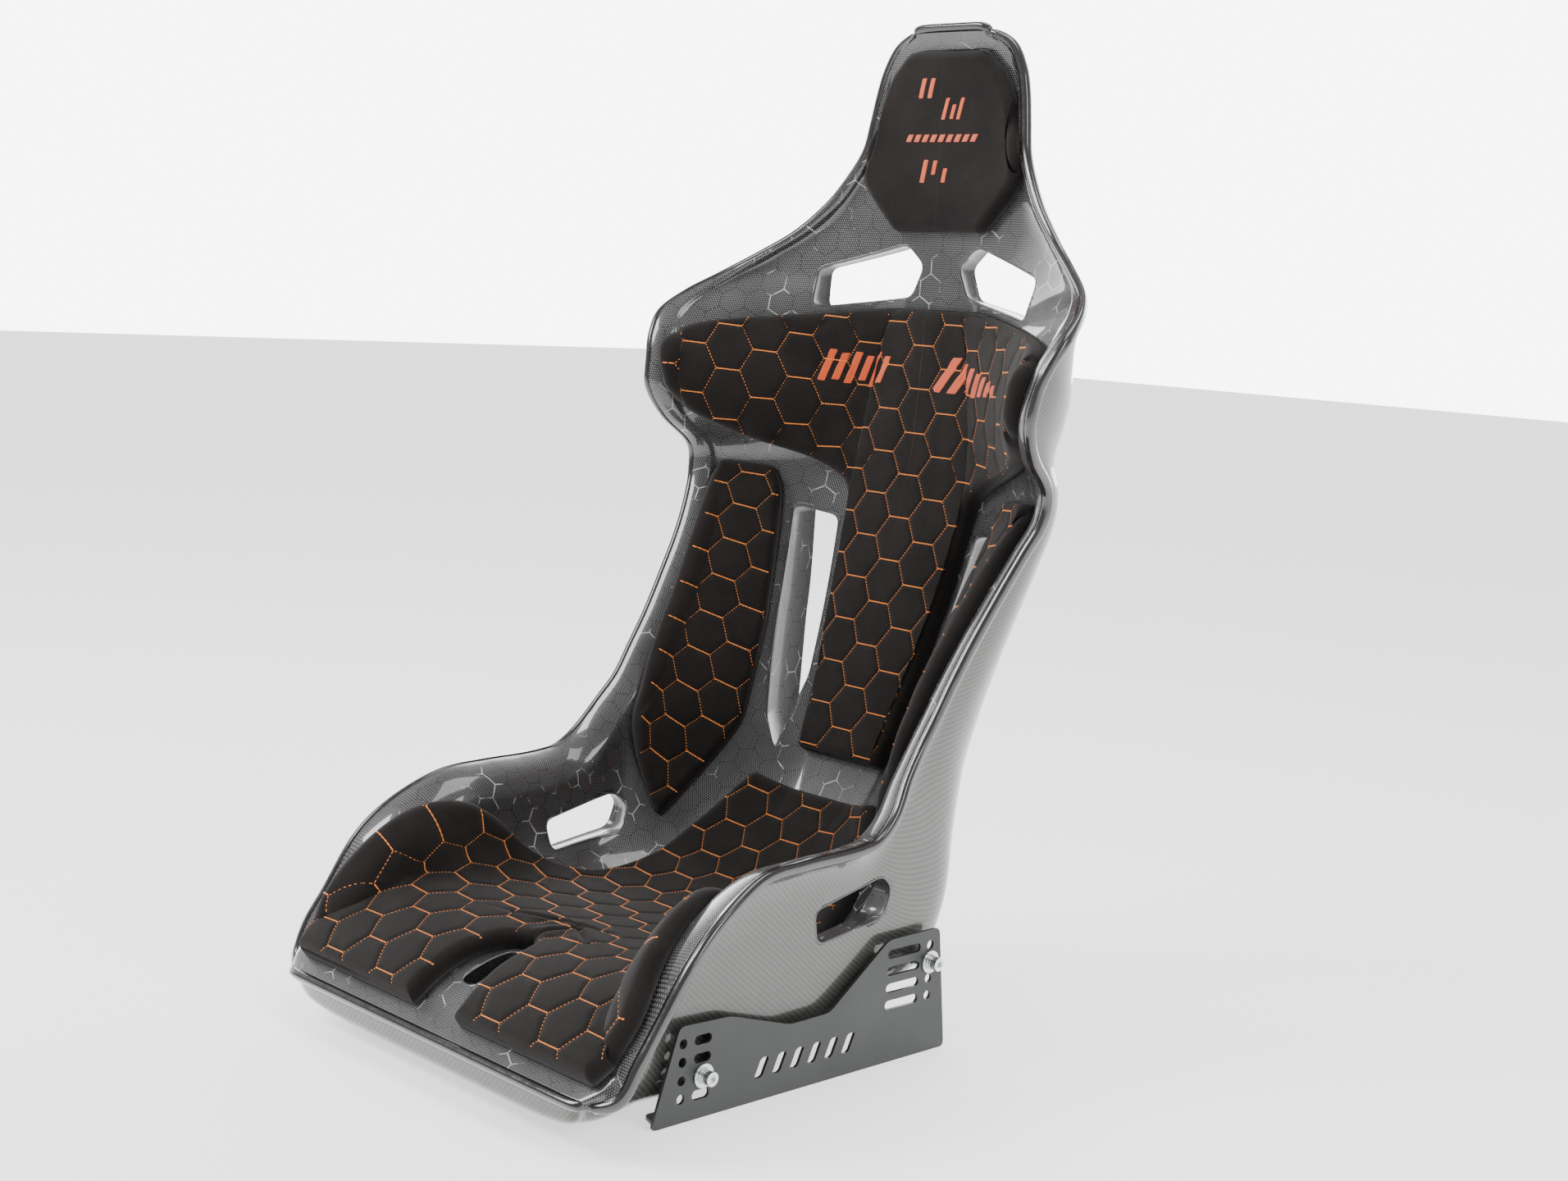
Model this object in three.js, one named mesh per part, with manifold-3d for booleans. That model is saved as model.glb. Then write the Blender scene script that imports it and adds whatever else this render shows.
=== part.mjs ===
import * as THREE from 'three';
import { mergeVertices, toCreasedNormals } from 'three/addons/utils/BufferGeometryUtils.js';
import Module from 'manifold-3d';

const wasm = await Module();
wasm.setup();

// ---------------------------------------------------------------- driving dimensions, mm
const shellWidth = 552;          // across the shoulder wings, rim to rim
const shellHeight = 980;         // floor to the top of the head section
const shellDepth = 643;          // front lip to the back of the shoulders
const skinThickness = 2.6;       // one laminate skin
const rimDrop = 8.2;             // inner skin face to outer skin face, along the rim
const fitGap = 0.3;              // bond or contact gap between touching pieces

const beadWidth = 5.2;           // edge bead, measured outwards from the rim
const beadOverlap = 0.8;         // how far the bead stands proud of each skin face
const beadTrim = 0.6;            // the bead's seat, cut back from the rim

const padCover = 1.4;            // suede and its backing
const padEdgeRadius = 9;         // rounded pad edge
const headPadThickness = 15;
const backPadThickness = 18;
const sidePadThickness = 17;
const cushionThickness = 17;
const foamGap = 0.8;             // between a cover and its foam
const stripThickness = 2.2;      // hook-and-loop strip behind each pad
const padStandOff = stripThickness + 2 * fitGap;

const returnWall = 2.4;          // moulded wall round each opening
const cornerRadius = 9;          // corners of the openings

const plateThickness = 3;
const plateFlange = 28;          // foot of the bracket, turned inwards
const spacerLength = 7;
const spacerRadius = 9;
const boltRadius = 4;            // M8
const boltLength = 30;
const boltHeadRadius = 6.5;
const boltHeadHeight = 8;
const socketRadius = 3.4;
const socketDepth = 4;
const holeRadius = 4.5;          // clearance hole for M8
const holePitch = 16.4;          // rows of the height adjustment
const holeRows = 4;
const washerRadius = 11;
const washerThickness = 1.8;
const lockWasherRadius = 7.4;
const lockWasherThickness = 2.2;
const lockWasherSplit = 1.6;
const insertRadius = 8;
const insertLength = 13;
const floorHoleRadius = 4.5;

const frontMountY = 24.5;        // side mounting points, 290 apart
const frontMountZ = 38.1;
const rearMountY = 311;
const rearMountZ = 88.7;

// ---------------------------------------------------------------- pattern of the shell
// The pattern is drawn at these sizes and stretched to the driving dimensions above.
const patternWidth = 552;
const patternHeight = 980;
const patternDepth = 643;
const kx = shellWidth / patternWidth;
const ky = shellDepth / patternDepth;
const kz = shellHeight / patternHeight;

// One row per cross-section, from the front lip to the top of the head section.
// centre y z | rim x y z | flat half width, roundness, rolled rim out and up |
// outer skin: centre y z, side half width, rim flare, roundness
const sections = [
  [-120, 46, 222, -108, 44, 0, 8, 4, 2, -118.6, 38, 208, 4, 8],
  [-101, 59, 240, -97, 54, 0, 6, 10, 6, -113, 19, 204, 14, 7],
  [-80, 76, 244, -84, 80, 0, 5, 22, 10, -97, 9, 199, 30, 6.5],
  [-55, 89, 244, -66, 106, 0, 4.2, 40, 14, -66, 4, 199.7, 46, 6],
  [-20, 97, 245, -30, 158, 0, 3.8, 50, 28, -24, 4, 199.8, 60, 6],
  [25, 98, 241, 8, 190, 0, 3.6, 50, 34, 25, 7, 199.7, 66, 8],
  [75, 93, 233, 60, 215, 0, 3.6, 43, 34, 78, 12, 199.7, 66, 8],
  [130, 87, 231, 112, 220, 0, 3.6, 41, 34, 130, 20, 199.7, 60, 8],
  [185, 83, 230, 155, 221, 0, 3.6, 40, 32, 182, 30, 199.7, 58, 9],
  [235, 87, 230, 185, 223, 4, 3.3, 40, 30, 230, 41, 199.7, 56, 10],
  [285, 103, 229, 207, 228, 12, 2.6, 38, 28, 280, 56, 199.7, 52, 11],
  [328, 133, 226, 229, 246, 24, 1.9, 34, 26, 328, 75, 199.7, 46, 10],
  [364, 171, 219, 249, 274, 38, 1.5, 30, 26, 363, 113, 198.5, 42, 7],
  [389, 211, 215, 268, 299, 48, 1.3, 28, 26, 391, 160, 196, 38, 4],
  [407, 254, 216, 286, 328, 54, 1.2, 28, 26, 418, 212, 196, 36, 2.7],
  [426, 303, 217, 307, 363, 60, 1.15, 28, 26, 441, 268, 196, 34, 2.4],
  [443, 355, 221, 330, 403, 68, 1.15, 26, 24, 462, 329, 200, 32, 2.3],
  [459, 407, 227, 354, 444, 74, 1.15, 24, 22, 481, 387, 207, 30, 2.2],
  [472, 455, 235, 373, 480, 78, 1.15, 22, 20, 496, 440, 220, 24, 2],
  [482, 497, 244, 386, 511, 80, 1.15, 20, 18, 507, 484, 229, 20, 1.9],
  [489, 531, 247, 384, 538, 80, 1.15, 20, 18, 514, 521, 233, 18, 1.9],
  [493, 561, 255, 352, 567, 78, 1.2, 20, 18, 518, 554, 241, 20, 1.9],
  [495, 592, 262, 334, 598, 74, 1.2, 20, 18, 520, 587, 249, 22, 2.1],
  [497, 622, 266, 336, 630, 68, 1.2, 20, 18, 522, 619, 254, 22, 2.1],
  [498, 652, 272, 344, 657, 62, 1.2, 20, 18, 523, 651, 258, 20, 1.9],
  [498, 680, 276, 360, 681, 54, 1.2, 20, 18, 523, 680, 266, 10, 1.65],
  [498, 706, 267, 389, 703, 46, 1.2, 20, 16, 523, 706, 262, 6, 1.55],
  [498, 728, 247, 416, 722, 40, 1.25, 18, 14, 523, 730, 246, 4, 1.55],
  [498, 750, 215, 438, 744, 34, 1.3, 16, 12, 524, 753, 215, 3, 1.6],
  [499, 774, 176, 459, 771, 24, 1.4, 14, 10, 524, 777, 176, 3, 1.65],
  [500, 800, 144, 472, 801, 12, 1.6, 12, 8, 524, 802, 143, 3, 1.7],
  [501, 828, 124, 480, 828, 4, 1.9, 10, 7, 524, 829, 122, 3, 1.8],
  [501, 858, 108, 487, 858, 0, 2.3, 9, 6, 523, 859, 106, 3, 1.9],
  [500, 888, 102, 490, 888, 0, 2.6, 9, 5, 521, 888, 99, 3, 2],
  [498, 916, 97, 492, 916, 0, 2.8, 8, 4, 517, 916, 89, 5, 2.2],
  [496, 940, 90, 493, 940, 0, 3, 7, 3, 512, 940, 83, 4, 2.6],
  [492, 962, 76, 493, 962, 0, 4, 5, 2, 505, 963, 70, 4, 3.4],
  [486, 980, 52, 490, 974, 0, 6, 3, 1, 494, 980, 48, 3, 5],
];

// ---------------------------------------------------------------- surface of the shell
const lastSection = sections.length - 1;
const sectionPosition = [0];
for (let i = 1; i <= lastSection; i += 1) {
  const a = sections[i - 1];
  const b = sections[i];
  const centreStep = Math.hypot(b[0] - a[0], b[1] - a[1]);
  const rimStep = Math.hypot(b[2] - a[2], b[3] - a[3], b[4] - a[4]);
  sectionPosition.push(sectionPosition[i - 1] + (centreStep + rimStep) / 2);
}
const sectionEnd = sectionPosition[lastSection];

// Smooth blend of the section rows at a position 0 (lip) to 1 (head).
function sectionAt(position) {
  const target = Math.min(1, Math.max(0, position)) * sectionEnd;
  let k = 0;
  while (k < lastSection - 1 && sectionPosition[k + 1] <= target) {
    k += 1;
  }
  const step = sectionPosition[k + 1] - sectionPosition[k];
  const u = (target - sectionPosition[k]) / step;
  const slope = (i, column) => {
    const a = Math.max(0, i - 1);
    const b = Math.min(lastSection, i + 1);
    return (sections[b][column] - sections[a][column]) / (sectionPosition[b] - sectionPosition[a]);
  };
  return sections[k].map((value, column) => (
    (2 * u ** 3 - 3 * u ** 2 + 1) * value
    + (u ** 3 - 2 * u ** 2 + u) * step * slope(k, column)
    + (3 * u ** 2 - 2 * u ** 3) * sections[k + 1][column]
    + (u ** 3 - u ** 2) * step * slope(k + 1, column)
  ));
}

const flatShare = 0.22;          // share of the half section used by its flat middle
const bodyShare = 0.8;           // where the rolled rim begins

// One point of a cross-section; reach runs 0 at the centre to 1 at the rim.
function sectionPoint(reach, centre, rim, flat, roundness, side, roll) {
  const dy = rim.y - centre.y;
  const dz = rim.z - centre.z;
  const depth = Math.hypot(dy, dz) + 1e-9;
  const wallDepth = Math.max(depth - roll, 0.3 * depth);
  const flatEnd = flatShare * Math.min(1, Math.max(0, flat / 60));
  const along = flatEnd > 1e-6 ? Math.min(1, reach / flatEnd) : 0;
  const body = Math.min(1, Math.max(0, (reach - flatEnd) / (bodyShare - flatEnd))) * Math.PI / 2;
  const turn = Math.min(1, Math.max(0, (reach - bodyShare) / (1 - bodyShare))) * Math.PI / 2;
  const sine = Math.max(0, Math.sin(body)) ** (2 / roundness);
  const cosine = Math.max(0, Math.cos(body)) ** (2 / roundness);
  const x = flat * along + (side - flat) * sine + (rim.x - side) * (1 - Math.cos(turn));
  const q = wallDepth * (1 - cosine) + (depth - wallDepth) * Math.sin(turn);
  return [x, centre.y + (dy / depth) * q, centre.z + (dz / depth) * q];
}

function surfacePoint(kind, position, across) {
  const row = sectionAt(position);
  const [cy, cz, rx, ry, rz, flat, round, rollOut, rollUp, oy, oz, side, flare, outerRound] = row;
  const reach = Math.abs(across);
  let p;
  if (kind === 'inner') {
    const rim = { x: rx, y: ry, z: rz };
    p = sectionPoint(reach, { y: cy, z: cz }, rim, Math.max(0, flat), round, rx - rollOut, rollUp);
  } else {
    const drop = surfaceNormal('inner', position, 1).multiplyScalar(-rimDrop);
    const rim = { x: rx + drop.x, y: ry + drop.y, z: rz + drop.z };
    p = sectionPoint(reach, { y: oy, z: oz }, rim, 0, outerRound, Math.min(side, rim.x), flare);
  }
  const sign = across < 0 ? -1 : 1;
  return new THREE.Vector3(sign * p[0] * kx, p[1] * ky, p[2] * kz);
}

// Unit normal on the occupant's side.
function surfaceNormal(kind, position, across) {
  const e = 0.002;
  const p0 = Math.max(0, position - e);
  const p1 = Math.min(1, position + e);
  const a0 = Math.max(-1, across - 2 * e);
  const a1 = Math.min(1, across + 2 * e);
  const along = surfacePoint(kind, p1, across).sub(surfacePoint(kind, p0, across));
  const over = surfacePoint(kind, position, a1).sub(surfacePoint(kind, position, a0));
  return over.cross(along).normalize();
}

// Distances along the centre line, and round each section, in mm.
const centreTable = [];
for (let i = 0, run = 0, last = null; i <= 240; i += 1) {
  const p = surfacePoint('inner', i / 240, 0);
  run += last ? p.distanceTo(last) : 0;
  centreTable.push(run);
  last = p;
}
const centreLength = centreTable[240];

function lookUp(table, value) {
  let k = 0;
  while (k < table.length - 2 && table[k + 1] < value) {
    k += 1;
  }
  const share = (value - table[k]) / (table[k + 1] - table[k] + 1e-9);
  return (k + Math.min(1, Math.max(0, share))) / (table.length - 1);
}

const positionAt = (distance) => lookUp(centreTable, distance);

function girthTable(kind, position) {
  const table = [0];
  let last = surfacePoint(kind, position, 0);
  for (let i = 1; i <= 60; i += 1) {
    const p = surfacePoint(kind, position, i / 60);
    table.push(table[i - 1] + p.distanceTo(last));
    last = p;
  }
  return table;
}

// ---------------------------------------------------------------- solids
function geometryOf(points, faces) {
  const geometry = new THREE.BufferGeometry();
  geometry.setAttribute('position', new THREE.Float32BufferAttribute(points.flatMap((p) => p.toArray()), 3));
  let volume = 0;
  for (const [a, b, c] of faces) {
    volume += points[a].dot(points[b].clone().cross(points[c]));
  }
  geometry.setIndex((volume < 0 ? faces.map(([a, b, c]) => [a, c, b]) : faces).flat());
  return geometry;
}

// Closed solid between two grids of points of the same size. The quads are split so that the
// left and right halves mirror each other.
function blockBetween(front, back) {
  const rows = front.length;
  const cols = front[0].length;
  const points = [...front.flat(), ...back.flat()];
  const half = rows * cols;
  const faces = [];
  const quad = (a, b, c, d) => {
    faces.push([a, b, c], [a, c, d]);
  };
  for (let r = 0; r < rows - 1; r += 1) {
    for (let c = 0; c < cols - 1; c += 1) {
      const i = r * cols + c;
      const j = half + i;
      if (c < (cols - 1) / 2) {
        quad(i, i + 1, i + cols + 1, i + cols);
        quad(j, j + cols, j + cols + 1, j + 1);
      } else {
        quad(i + 1, i + cols + 1, i + cols, i);
        quad(j + cols, j + cols + 1, j + 1, j);
      }
    }
  }
  const edge = [];
  for (let c = 0; c < cols - 1; c += 1) {
    edge.push(c);
  }
  for (let r = 0; r < rows - 1; r += 1) {
    edge.push(r * cols + cols - 1);
  }
  for (let c = cols - 1; c > 0; c -= 1) {
    edge.push((rows - 1) * cols + c);
  }
  for (let r = rows - 1; r > 0; r -= 1) {
    edge.push(r * cols);
  }
  edge.forEach((i, n) => {
    const j = edge[(n + 1) % edge.length];
    quad(j, i, half + i, half + j);
  });
  return geometryOf(points, faces);
}

const tidyTolerance = 0.1;      // smallest detail kept after joining and cutting

function toSolid(geometry) {
  const plain = geometry.clone();
  plain.deleteAttribute('normal');
  plain.deleteAttribute('uv');
  const merged = mergeVertices(plain, 1e-4);
  return new wasm.Manifold(new wasm.Mesh({
    numProp: 3,
    vertProperties: new Float32Array(merged.attributes.position.array),
    triVerts: new Uint32Array(merged.index.array),
  }));
}

const mainPiece = (solid) => solid.decompose().sort((a, b) => b.volume() - a.volume())[0];

function toGeometry(solid) {
  const mesh = mainPiece(solid.asOriginal().simplify(tidyTolerance)).getMesh();
  const geometry = new THREE.BufferGeometry();
  geometry.setAttribute('position', new THREE.Float32BufferAttribute(mesh.vertProperties, 3));
  geometry.setIndex(Array.from(mesh.triVerts));
  return geometry;
}

// Outline with each corner rounded.
function rounded(outline, radius, steps = 3) {
  const result = [];
  outline.forEach((corner, i) => {
    const p = new THREE.Vector2(...corner);
    const before = new THREE.Vector2(...outline[(i + outline.length - 1) % outline.length]).sub(p);
    const after = new THREE.Vector2(...outline[(i + 1) % outline.length]).sub(p);
    const reach = Math.min(radius, before.length() * 0.42, after.length() * 0.42);
    const from = p.clone().addScaledVector(before.normalize(), reach);
    const to = p.clone().addScaledVector(after.normalize(), reach);
    for (let k = 0; k <= steps; k += 1) {
      const u = k / steps;
      result.push([
        (1 - u) ** 2 * from.x + 2 * u * (1 - u) * p.x + u ** 2 * to.x,
        (1 - u) ** 2 * from.y + 2 * u * (1 - u) * p.y + u ** 2 * to.y,
      ]);
    }
  });
  return result;
}

// Outline moved outwards by a distance; the outline is convex or nearly so.
function grown(outline, distance) {
  let area = 0;
  outline.forEach(([x, y], i) => {
    const [u, v] = outline[(i + 1) % outline.length];
    area += x * v - u * y;
  });
  const side = area > 0 ? 1 : -1;
  return outline.map((corner, i) => {
    const p = new THREE.Vector2(...corner);
    const a = p.clone().sub(new THREE.Vector2(...outline[(i + outline.length - 1) % outline.length])).normalize();
    const b = new THREE.Vector2(...outline[(i + 1) % outline.length]).sub(p).normalize();
    const normal = new THREE.Vector2(a.y + b.y, -a.x - b.x).normalize();
    const miter = distance / Math.max(0.5, normal.dot(new THREE.Vector2(a.y, -a.x)));
    return [p.x + side * normal.x * miter, p.y + side * normal.y * miter];
  });
}

// Prism over an outline; axis names the direction, and the outline's two numbers are the
// other two coordinates in x, y, z order.
function prism(outline, axis, from, to) {
  const shape = new THREE.Shape(outline.map(([a, b]) => new THREE.Vector2(a, b)));
  const geometry = new THREE.ExtrudeGeometry(shape, { depth: to - from, bevelEnabled: false });
  const place = new THREE.Matrix4();
  if (axis === 'x') {
    place.set(0, 0, 1, from, 1, 0, 0, 0, 0, 1, 0, 0, 0, 0, 0, 1);
  } else if (axis === 'y') {
    place.set(1, 0, 0, 0, 0, 0, -1, to, 0, 1, 0, 0, 0, 0, 0, 1);
  } else {
    place.makeTranslation(0, 0, from);
  }
  return toSolid(geometry.applyMatrix4(place));
}

// Round bar along x.
function barX(radius, from, to, y, z, sides = 16) {
  const geometry = new THREE.CylinderGeometry(radius, radius, to - from, sides);
  geometry.rotateZ(Math.PI / 2);
  geometry.translate((from + to) / 2, y, z);
  return toSolid(geometry);
}

const mirrored = (outline) => outline.map(([x, z]) => [-x, z]);
const scaledXZ = (outline) => outline.map(([x, z]) => [x * kx, z * kz]);
const scaledYZ = (outline) => outline.map(([y, z]) => [y * ky, z * kz]);
const scaledXY = (outline) => outline.map(([x, y]) => [x * kx, y * ky]);

// ---------------------------------------------------------------- shell skins
const skinRows = 28;
const skinCols = 16;

function skinGrid(kind, offset) {
  const grid = [];
  for (let r = 0; r <= skinRows; r += 1) {
    const position = r / skinRows;
    const girth = girthTable(kind, position);
    const total = girth[girth.length - 1];
    const line = [];
    for (let c = 0; c <= skinCols; c += 1) {
      const share = (2 * c) / skinCols - 1;
      const across = Math.sign(share) * lookUp(girth, Math.abs(share) * total);
      const normal = surfaceNormal(kind, position, across);
      line.push(surfacePoint(kind, position, across).addScaledVector(normal, offset));
    }
    grid.push(line);
  }
  return grid;
}

const innerFace = skinGrid('inner', 0);
const innerBack = skinGrid('inner', -skinThickness);
const innerMiddle = skinGrid('inner', -skinThickness / 2);
const outerFace = skinGrid('outer', 0);
const outerBack = skinGrid('outer', skinThickness);
const outerLimit = skinGrid('outer', skinThickness + fitGap);

// Openings through both skins.
const harnessOpening = rounded(
  scaledXZ([[24, 742], [39, 709], [146, 692], [150, 734], [48, 763]]),
  cornerRadius,
);
const windowOpening = rounded(
  scaledXZ([[97, 473], [144, 481], [123, 364], [100, 262], [84, 229], [77, 308]]),
  cornerRadius,
);
const beltOpening = rounded(
  scaledYZ([[163, 158], [250, 178], [263, 165], [253, 139], [168, 127]]),
  cornerRadius,
);
const strapOpening = rounded(
  scaledXY([[-11, -72], [11, -72], [11, -12], [-11, -12]]),
  cornerRadius,
);

const tall = 1400;
const openings = [
  { outline: harnessOpening, axis: 'y', from: 380 * ky, to: 600 * ky },
  { outline: mirrored(harnessOpening), axis: 'y', from: 380 * ky, to: 600 * ky },
  { outline: windowOpening, axis: 'y', from: 300 * ky, to: 600 * ky },
  { outline: mirrored(windowOpening), axis: 'y', from: 300 * ky, to: 600 * ky },
  { outline: beltOpening, axis: 'x', from: 120 * kx, to: 260 * kx },
  { outline: beltOpening, axis: 'x', from: -260 * kx, to: -120 * kx },
  { outline: strapOpening, axis: 'z', from: -40, to: 160 * kz },
];

const core = toSolid(blockBetween(innerMiddle, outerLimit));
let innerSkin = toSolid(blockBetween(innerFace, innerBack));
let outerSkin = toSolid(blockBetween(outerFace, outerBack));
for (const { outline, axis, from, to } of openings) {
  const walls = prism(grown(outline, returnWall), axis, from, to);
  innerSkin = innerSkin.add(core.intersect(walls));
}
for (const { outline, axis, from, to } of openings) {
  const hole = prism(outline, axis, from, to);
  innerSkin = innerSkin.subtract(hole);
  outerSkin = outerSkin.subtract(hole);
}

const mounts = [
  { name: 'front', y: frontMountY, z: frontMountZ },
  { name: 'rear', y: rearMountY, z: rearMountZ },
];
for (const { y, z } of mounts) {
  outerSkin = outerSkin.subtract(barX(holeRadius, -tall, tall, y, z, 12));
}

// ---------------------------------------------------------------- edge bead round the rim
function rimLoop() {
  const steps = [];
  for (let i = 0; i < skinCols; i += 1) {
    steps.push([0, 1 - (2 * i) / skinCols]);
  }
  for (let r = 0; r < skinRows; r += 1) {
    steps.push([r / skinRows, -1]);
  }
  for (let i = 0; i < skinCols; i += 1) {
    steps.push([1, -1 + (2 * i) / skinCols]);
  }
  for (let r = skinRows; r > 0; r -= 1) {
    steps.push([r / skinRows, 1]);
  }
  return steps.map(([position, share]) => {
    const girth = girthTable('inner', position);
    const total = girth[girth.length - 1];
    const across = Math.sign(share) * lookUp(girth, Math.abs(share) * total);
    return {
      point: surfacePoint('inner', position, across),
      normal: surfaceNormal('inner', position, across),
    };
  });
}

function rimBead() {
  const loop = rimLoop();
  const profile = [
    [fitGap, beadOverlap],
    [beadWidth * 0.6, beadOverlap],
    [beadWidth, -rimDrop * 0.2],
    [beadWidth, -rimDrop * 0.8],
    [beadWidth * 0.6, -rimDrop - beadOverlap],
    [fitGap, -rimDrop - beadOverlap],
  ];
  const points = [];
  loop.forEach(({ point, normal }, i) => {
    const before = loop[(i + loop.length - 1) % loop.length].point;
    const after = loop[(i + 1) % loop.length].point;
    const a = point.clone().sub(before).normalize();
    const b = after.clone().sub(point).normalize();
    const tangent = a.clone().add(b).normalize();
    const outwards = normal.clone().cross(tangent).normalize();
    const miter = 1 / Math.max(0.6, tangent.dot(a));
    for (const [out, up] of profile) {
      points.push(point.clone().addScaledVector(outwards, out * miter).addScaledVector(normal, up));
    }
  });
  const n = profile.length;
  const faces = [];
  for (let i = 0; i < loop.length; i += 1) {
    const j = (i + 1) % loop.length;
    for (let k = 0; k < n; k += 1) {
      const m = (k + 1) % n;
      faces.push([i * n + k, j * n + k, j * n + m], [i * n + k, j * n + m, i * n + m]);
    }
  }
  return geometryOf(points, faces);
}

// Grid with its edge moved outwards by a margin.
function widened(grid, margin) {
  const rows = grid.length - 1;
  const cols = grid[0].length - 1;
  const moved = (p, inside) => p.clone().add(p.clone().sub(inside).setLength(margin));
  const wide = grid.map((line) => [
    moved(line[0], line[1]), ...line.slice(1, cols), moved(line[cols], line[cols - 1]),
  ]);
  return [
    wide[0].map((p, c) => moved(p, wide[1][c])),
    ...wide.slice(1, rows),
    wide[rows].map((p, c) => moved(p, wide[rows - 1][c])),
  ];
}

function trimmedBead() {
  const front = widened(skinGrid('inner', fitGap), beadTrim);
  const back = widened(skinGrid('outer', -fitGap), beadTrim);
  const trimmed = toSolid(rimBead()).subtract(toSolid(blockBetween(front, back)));
  return mainPiece(trimmed.subtract(innerSkin).subtract(outerSkin));
}

// Room kept clear of the pads: the inner skin and its fit gap.
const skinRoom = toSolid(blockBetween(skinGrid('inner', fitGap), innerBack));
const clearOfSkin = (solid) => mainPiece(solid.subtract(skinRoom));

// ---------------------------------------------------------------- pads
// Each pad follows the inner skin. Its outline is drawn on the unrolled skin: distance up the
// centre line from the front lip, then distance out from the centre line on each side.
const headPadOutline = [
  [1157, 58], [1166, 70], [1190, 96], [1214, 112], [1240, 108], [1290, 88],
  [1322, 72], [1336, 58], [1341, 40],
];
const backPadOutline = [
  [599, 58], [604, 63], [690, 72], [800, 81], [880, 88], [898, 100], [912, 140], [928, 200],
  [944, 268], [962, 302], [985, 312], [1015, 316], [1030, 311], [1042, 288], [1053, 240],
  [1066, 150], [1074, 80], [1078, 30],
];
const sidePadOutline = [
  [458, 164, 172], [472, 160, 196], [500, 154, 226], [528, 147, 246], [602, 129, 250],
  [718, 140, 248], [837, 160, 250], [876, 168, 250], [888, 174, 246], [894, 186, 236],
];
const cushionOutline = [
  [20, 214], [26, 222], [40, 222], [86, 238], [119, 248], [162, 257], [200, 256], [226, 247],
  [250, 228], [272, 202], [291, 176], [327, 156], [372, 148], [455, 131], [512, 112],
  [545, 102], [554, 92],
];

function interpolate(table, value, column) {
  let k = 0;
  while (k < table.length - 2 && table[k + 1][0] < value) {
    k += 1;
  }
  const u = (value - table[k][0]) / (table[k + 1][0] - table[k][0]);
  return table[k][column] + Math.min(1, Math.max(0, u)) * (table[k + 1][column] - table[k][column]);
}

// Stations across a span, close together at both ends so the edge can round. An inset moves
// only the two end stations, so a lining keeps the other stations of its cover.
function spread(from, to, count, insetFrom, insetTo) {
  const width = to - from;
  const reach = Math.min(padEdgeRadius, width * 0.4);
  const near = (inset) => {
    const far = Math.max(reach, inset + 0.4 * reach);
    return [inset, (inset + far) / 2.6, far].sort((a, b) => a - b);
  };
  const result = near(insetFrom).map((d) => from + d);
  for (let i = 1; i < count; i += 1) {
    result.push(from + reach + ((width - 2 * reach) * i) / count);
  }
  return [...result, ...near(insetTo).reverse().map((d) => to - d)].sort((a, b) => a - b);
}

function distanceToOutline(outline, w, l) {
  let best = Infinity;
  outline.forEach(([aw, al], i) => {
    const [bw, bl] = outline[(i + 1) % outline.length];
    const dw = bw - aw;
    const dl = bl - al;
    const length = dw * dw + dl * dl + 1e-9;
    const u = Math.min(1, Math.max(0, ((w - aw) * dw + (l - al) * dl) / length));
    best = Math.min(best, Math.hypot(w - aw - u * dw, l - al - u * dl));
  });
  return best;
}

// First place along a row that is clear of the outline by the inset.
function insetAlong(outline, start, l, inset, direction) {
  let w = start;
  for (let i = 0; i < 400 && distanceToOutline(outline, w, l) < inset - 1e-6; i += 1) {
    w += direction * 0.25;
  }
  return w;
}

// Grid of a pad's face, inset from the outline and lowered at its rounded edge.
function padGrid(table, side, inset, top, bottom, rowCount, colCount) {
  const inner = (l) => (side === 0 ? -interpolate(table, l, 1) : interpolate(table, l, 1));
  const outer = (l) => interpolate(table, l, side === 0 ? 1 : 2);
  const outline = [...table.map(([l]) => [outer(l), l]), ...table.map(([l]) => [inner(l), l]).reverse()];
  const first = table[0][0];
  const last = table[table.length - 1][0];
  const radius = Math.max(1, padEdgeRadius - inset);
  const upper = [];
  const lower = [];
  for (const l of spread(first, last, rowCount, inset, inset)) {
    const position = positionAt(l * ky);
    const girth = girthTable('inner', position);
    const high = [];
    const low = [];
    const from = insetAlong(outline, inner(l), l, inset, 1);
    const to = insetAlong(outline, outer(l), l, inset, -1);
    for (const w0 of spread(from, to, colCount, 0, 0)) {
      const w = w0 * (side < 0 ? -1 : 1);
      const across = Math.sign(w) * lookUp(girth, Math.abs(w) * kx);
      const edge = Math.max(0, distanceToOutline(outline, w0, l) - inset);
      const short = Math.max(0, radius - edge);
      const drop = radius - Math.sqrt(Math.max(0, radius ** 2 - short ** 2));
      const point = surfacePoint('inner', position, across);
      const normal = surfaceNormal('inner', position, across);
      high.push(point.clone().addScaledVector(normal, top - drop));
      low.push(point.clone().addScaledVector(normal, bottom));
    }
    upper.push(high);
    lower.push(low);
  }
  return { upper, lower };
}

// Face grid with a skirt that drops to the lower grid all round.
function skirted({ upper, lower }) {
  const around = (high, low) => [low[0], ...high, low[low.length - 1]];
  return [
    around(lower[0], lower[0]),
    ...upper.map((line, r) => around(line, lower[r])),
    around(lower[lower.length - 1], lower[lower.length - 1]),
  ];
}

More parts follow.
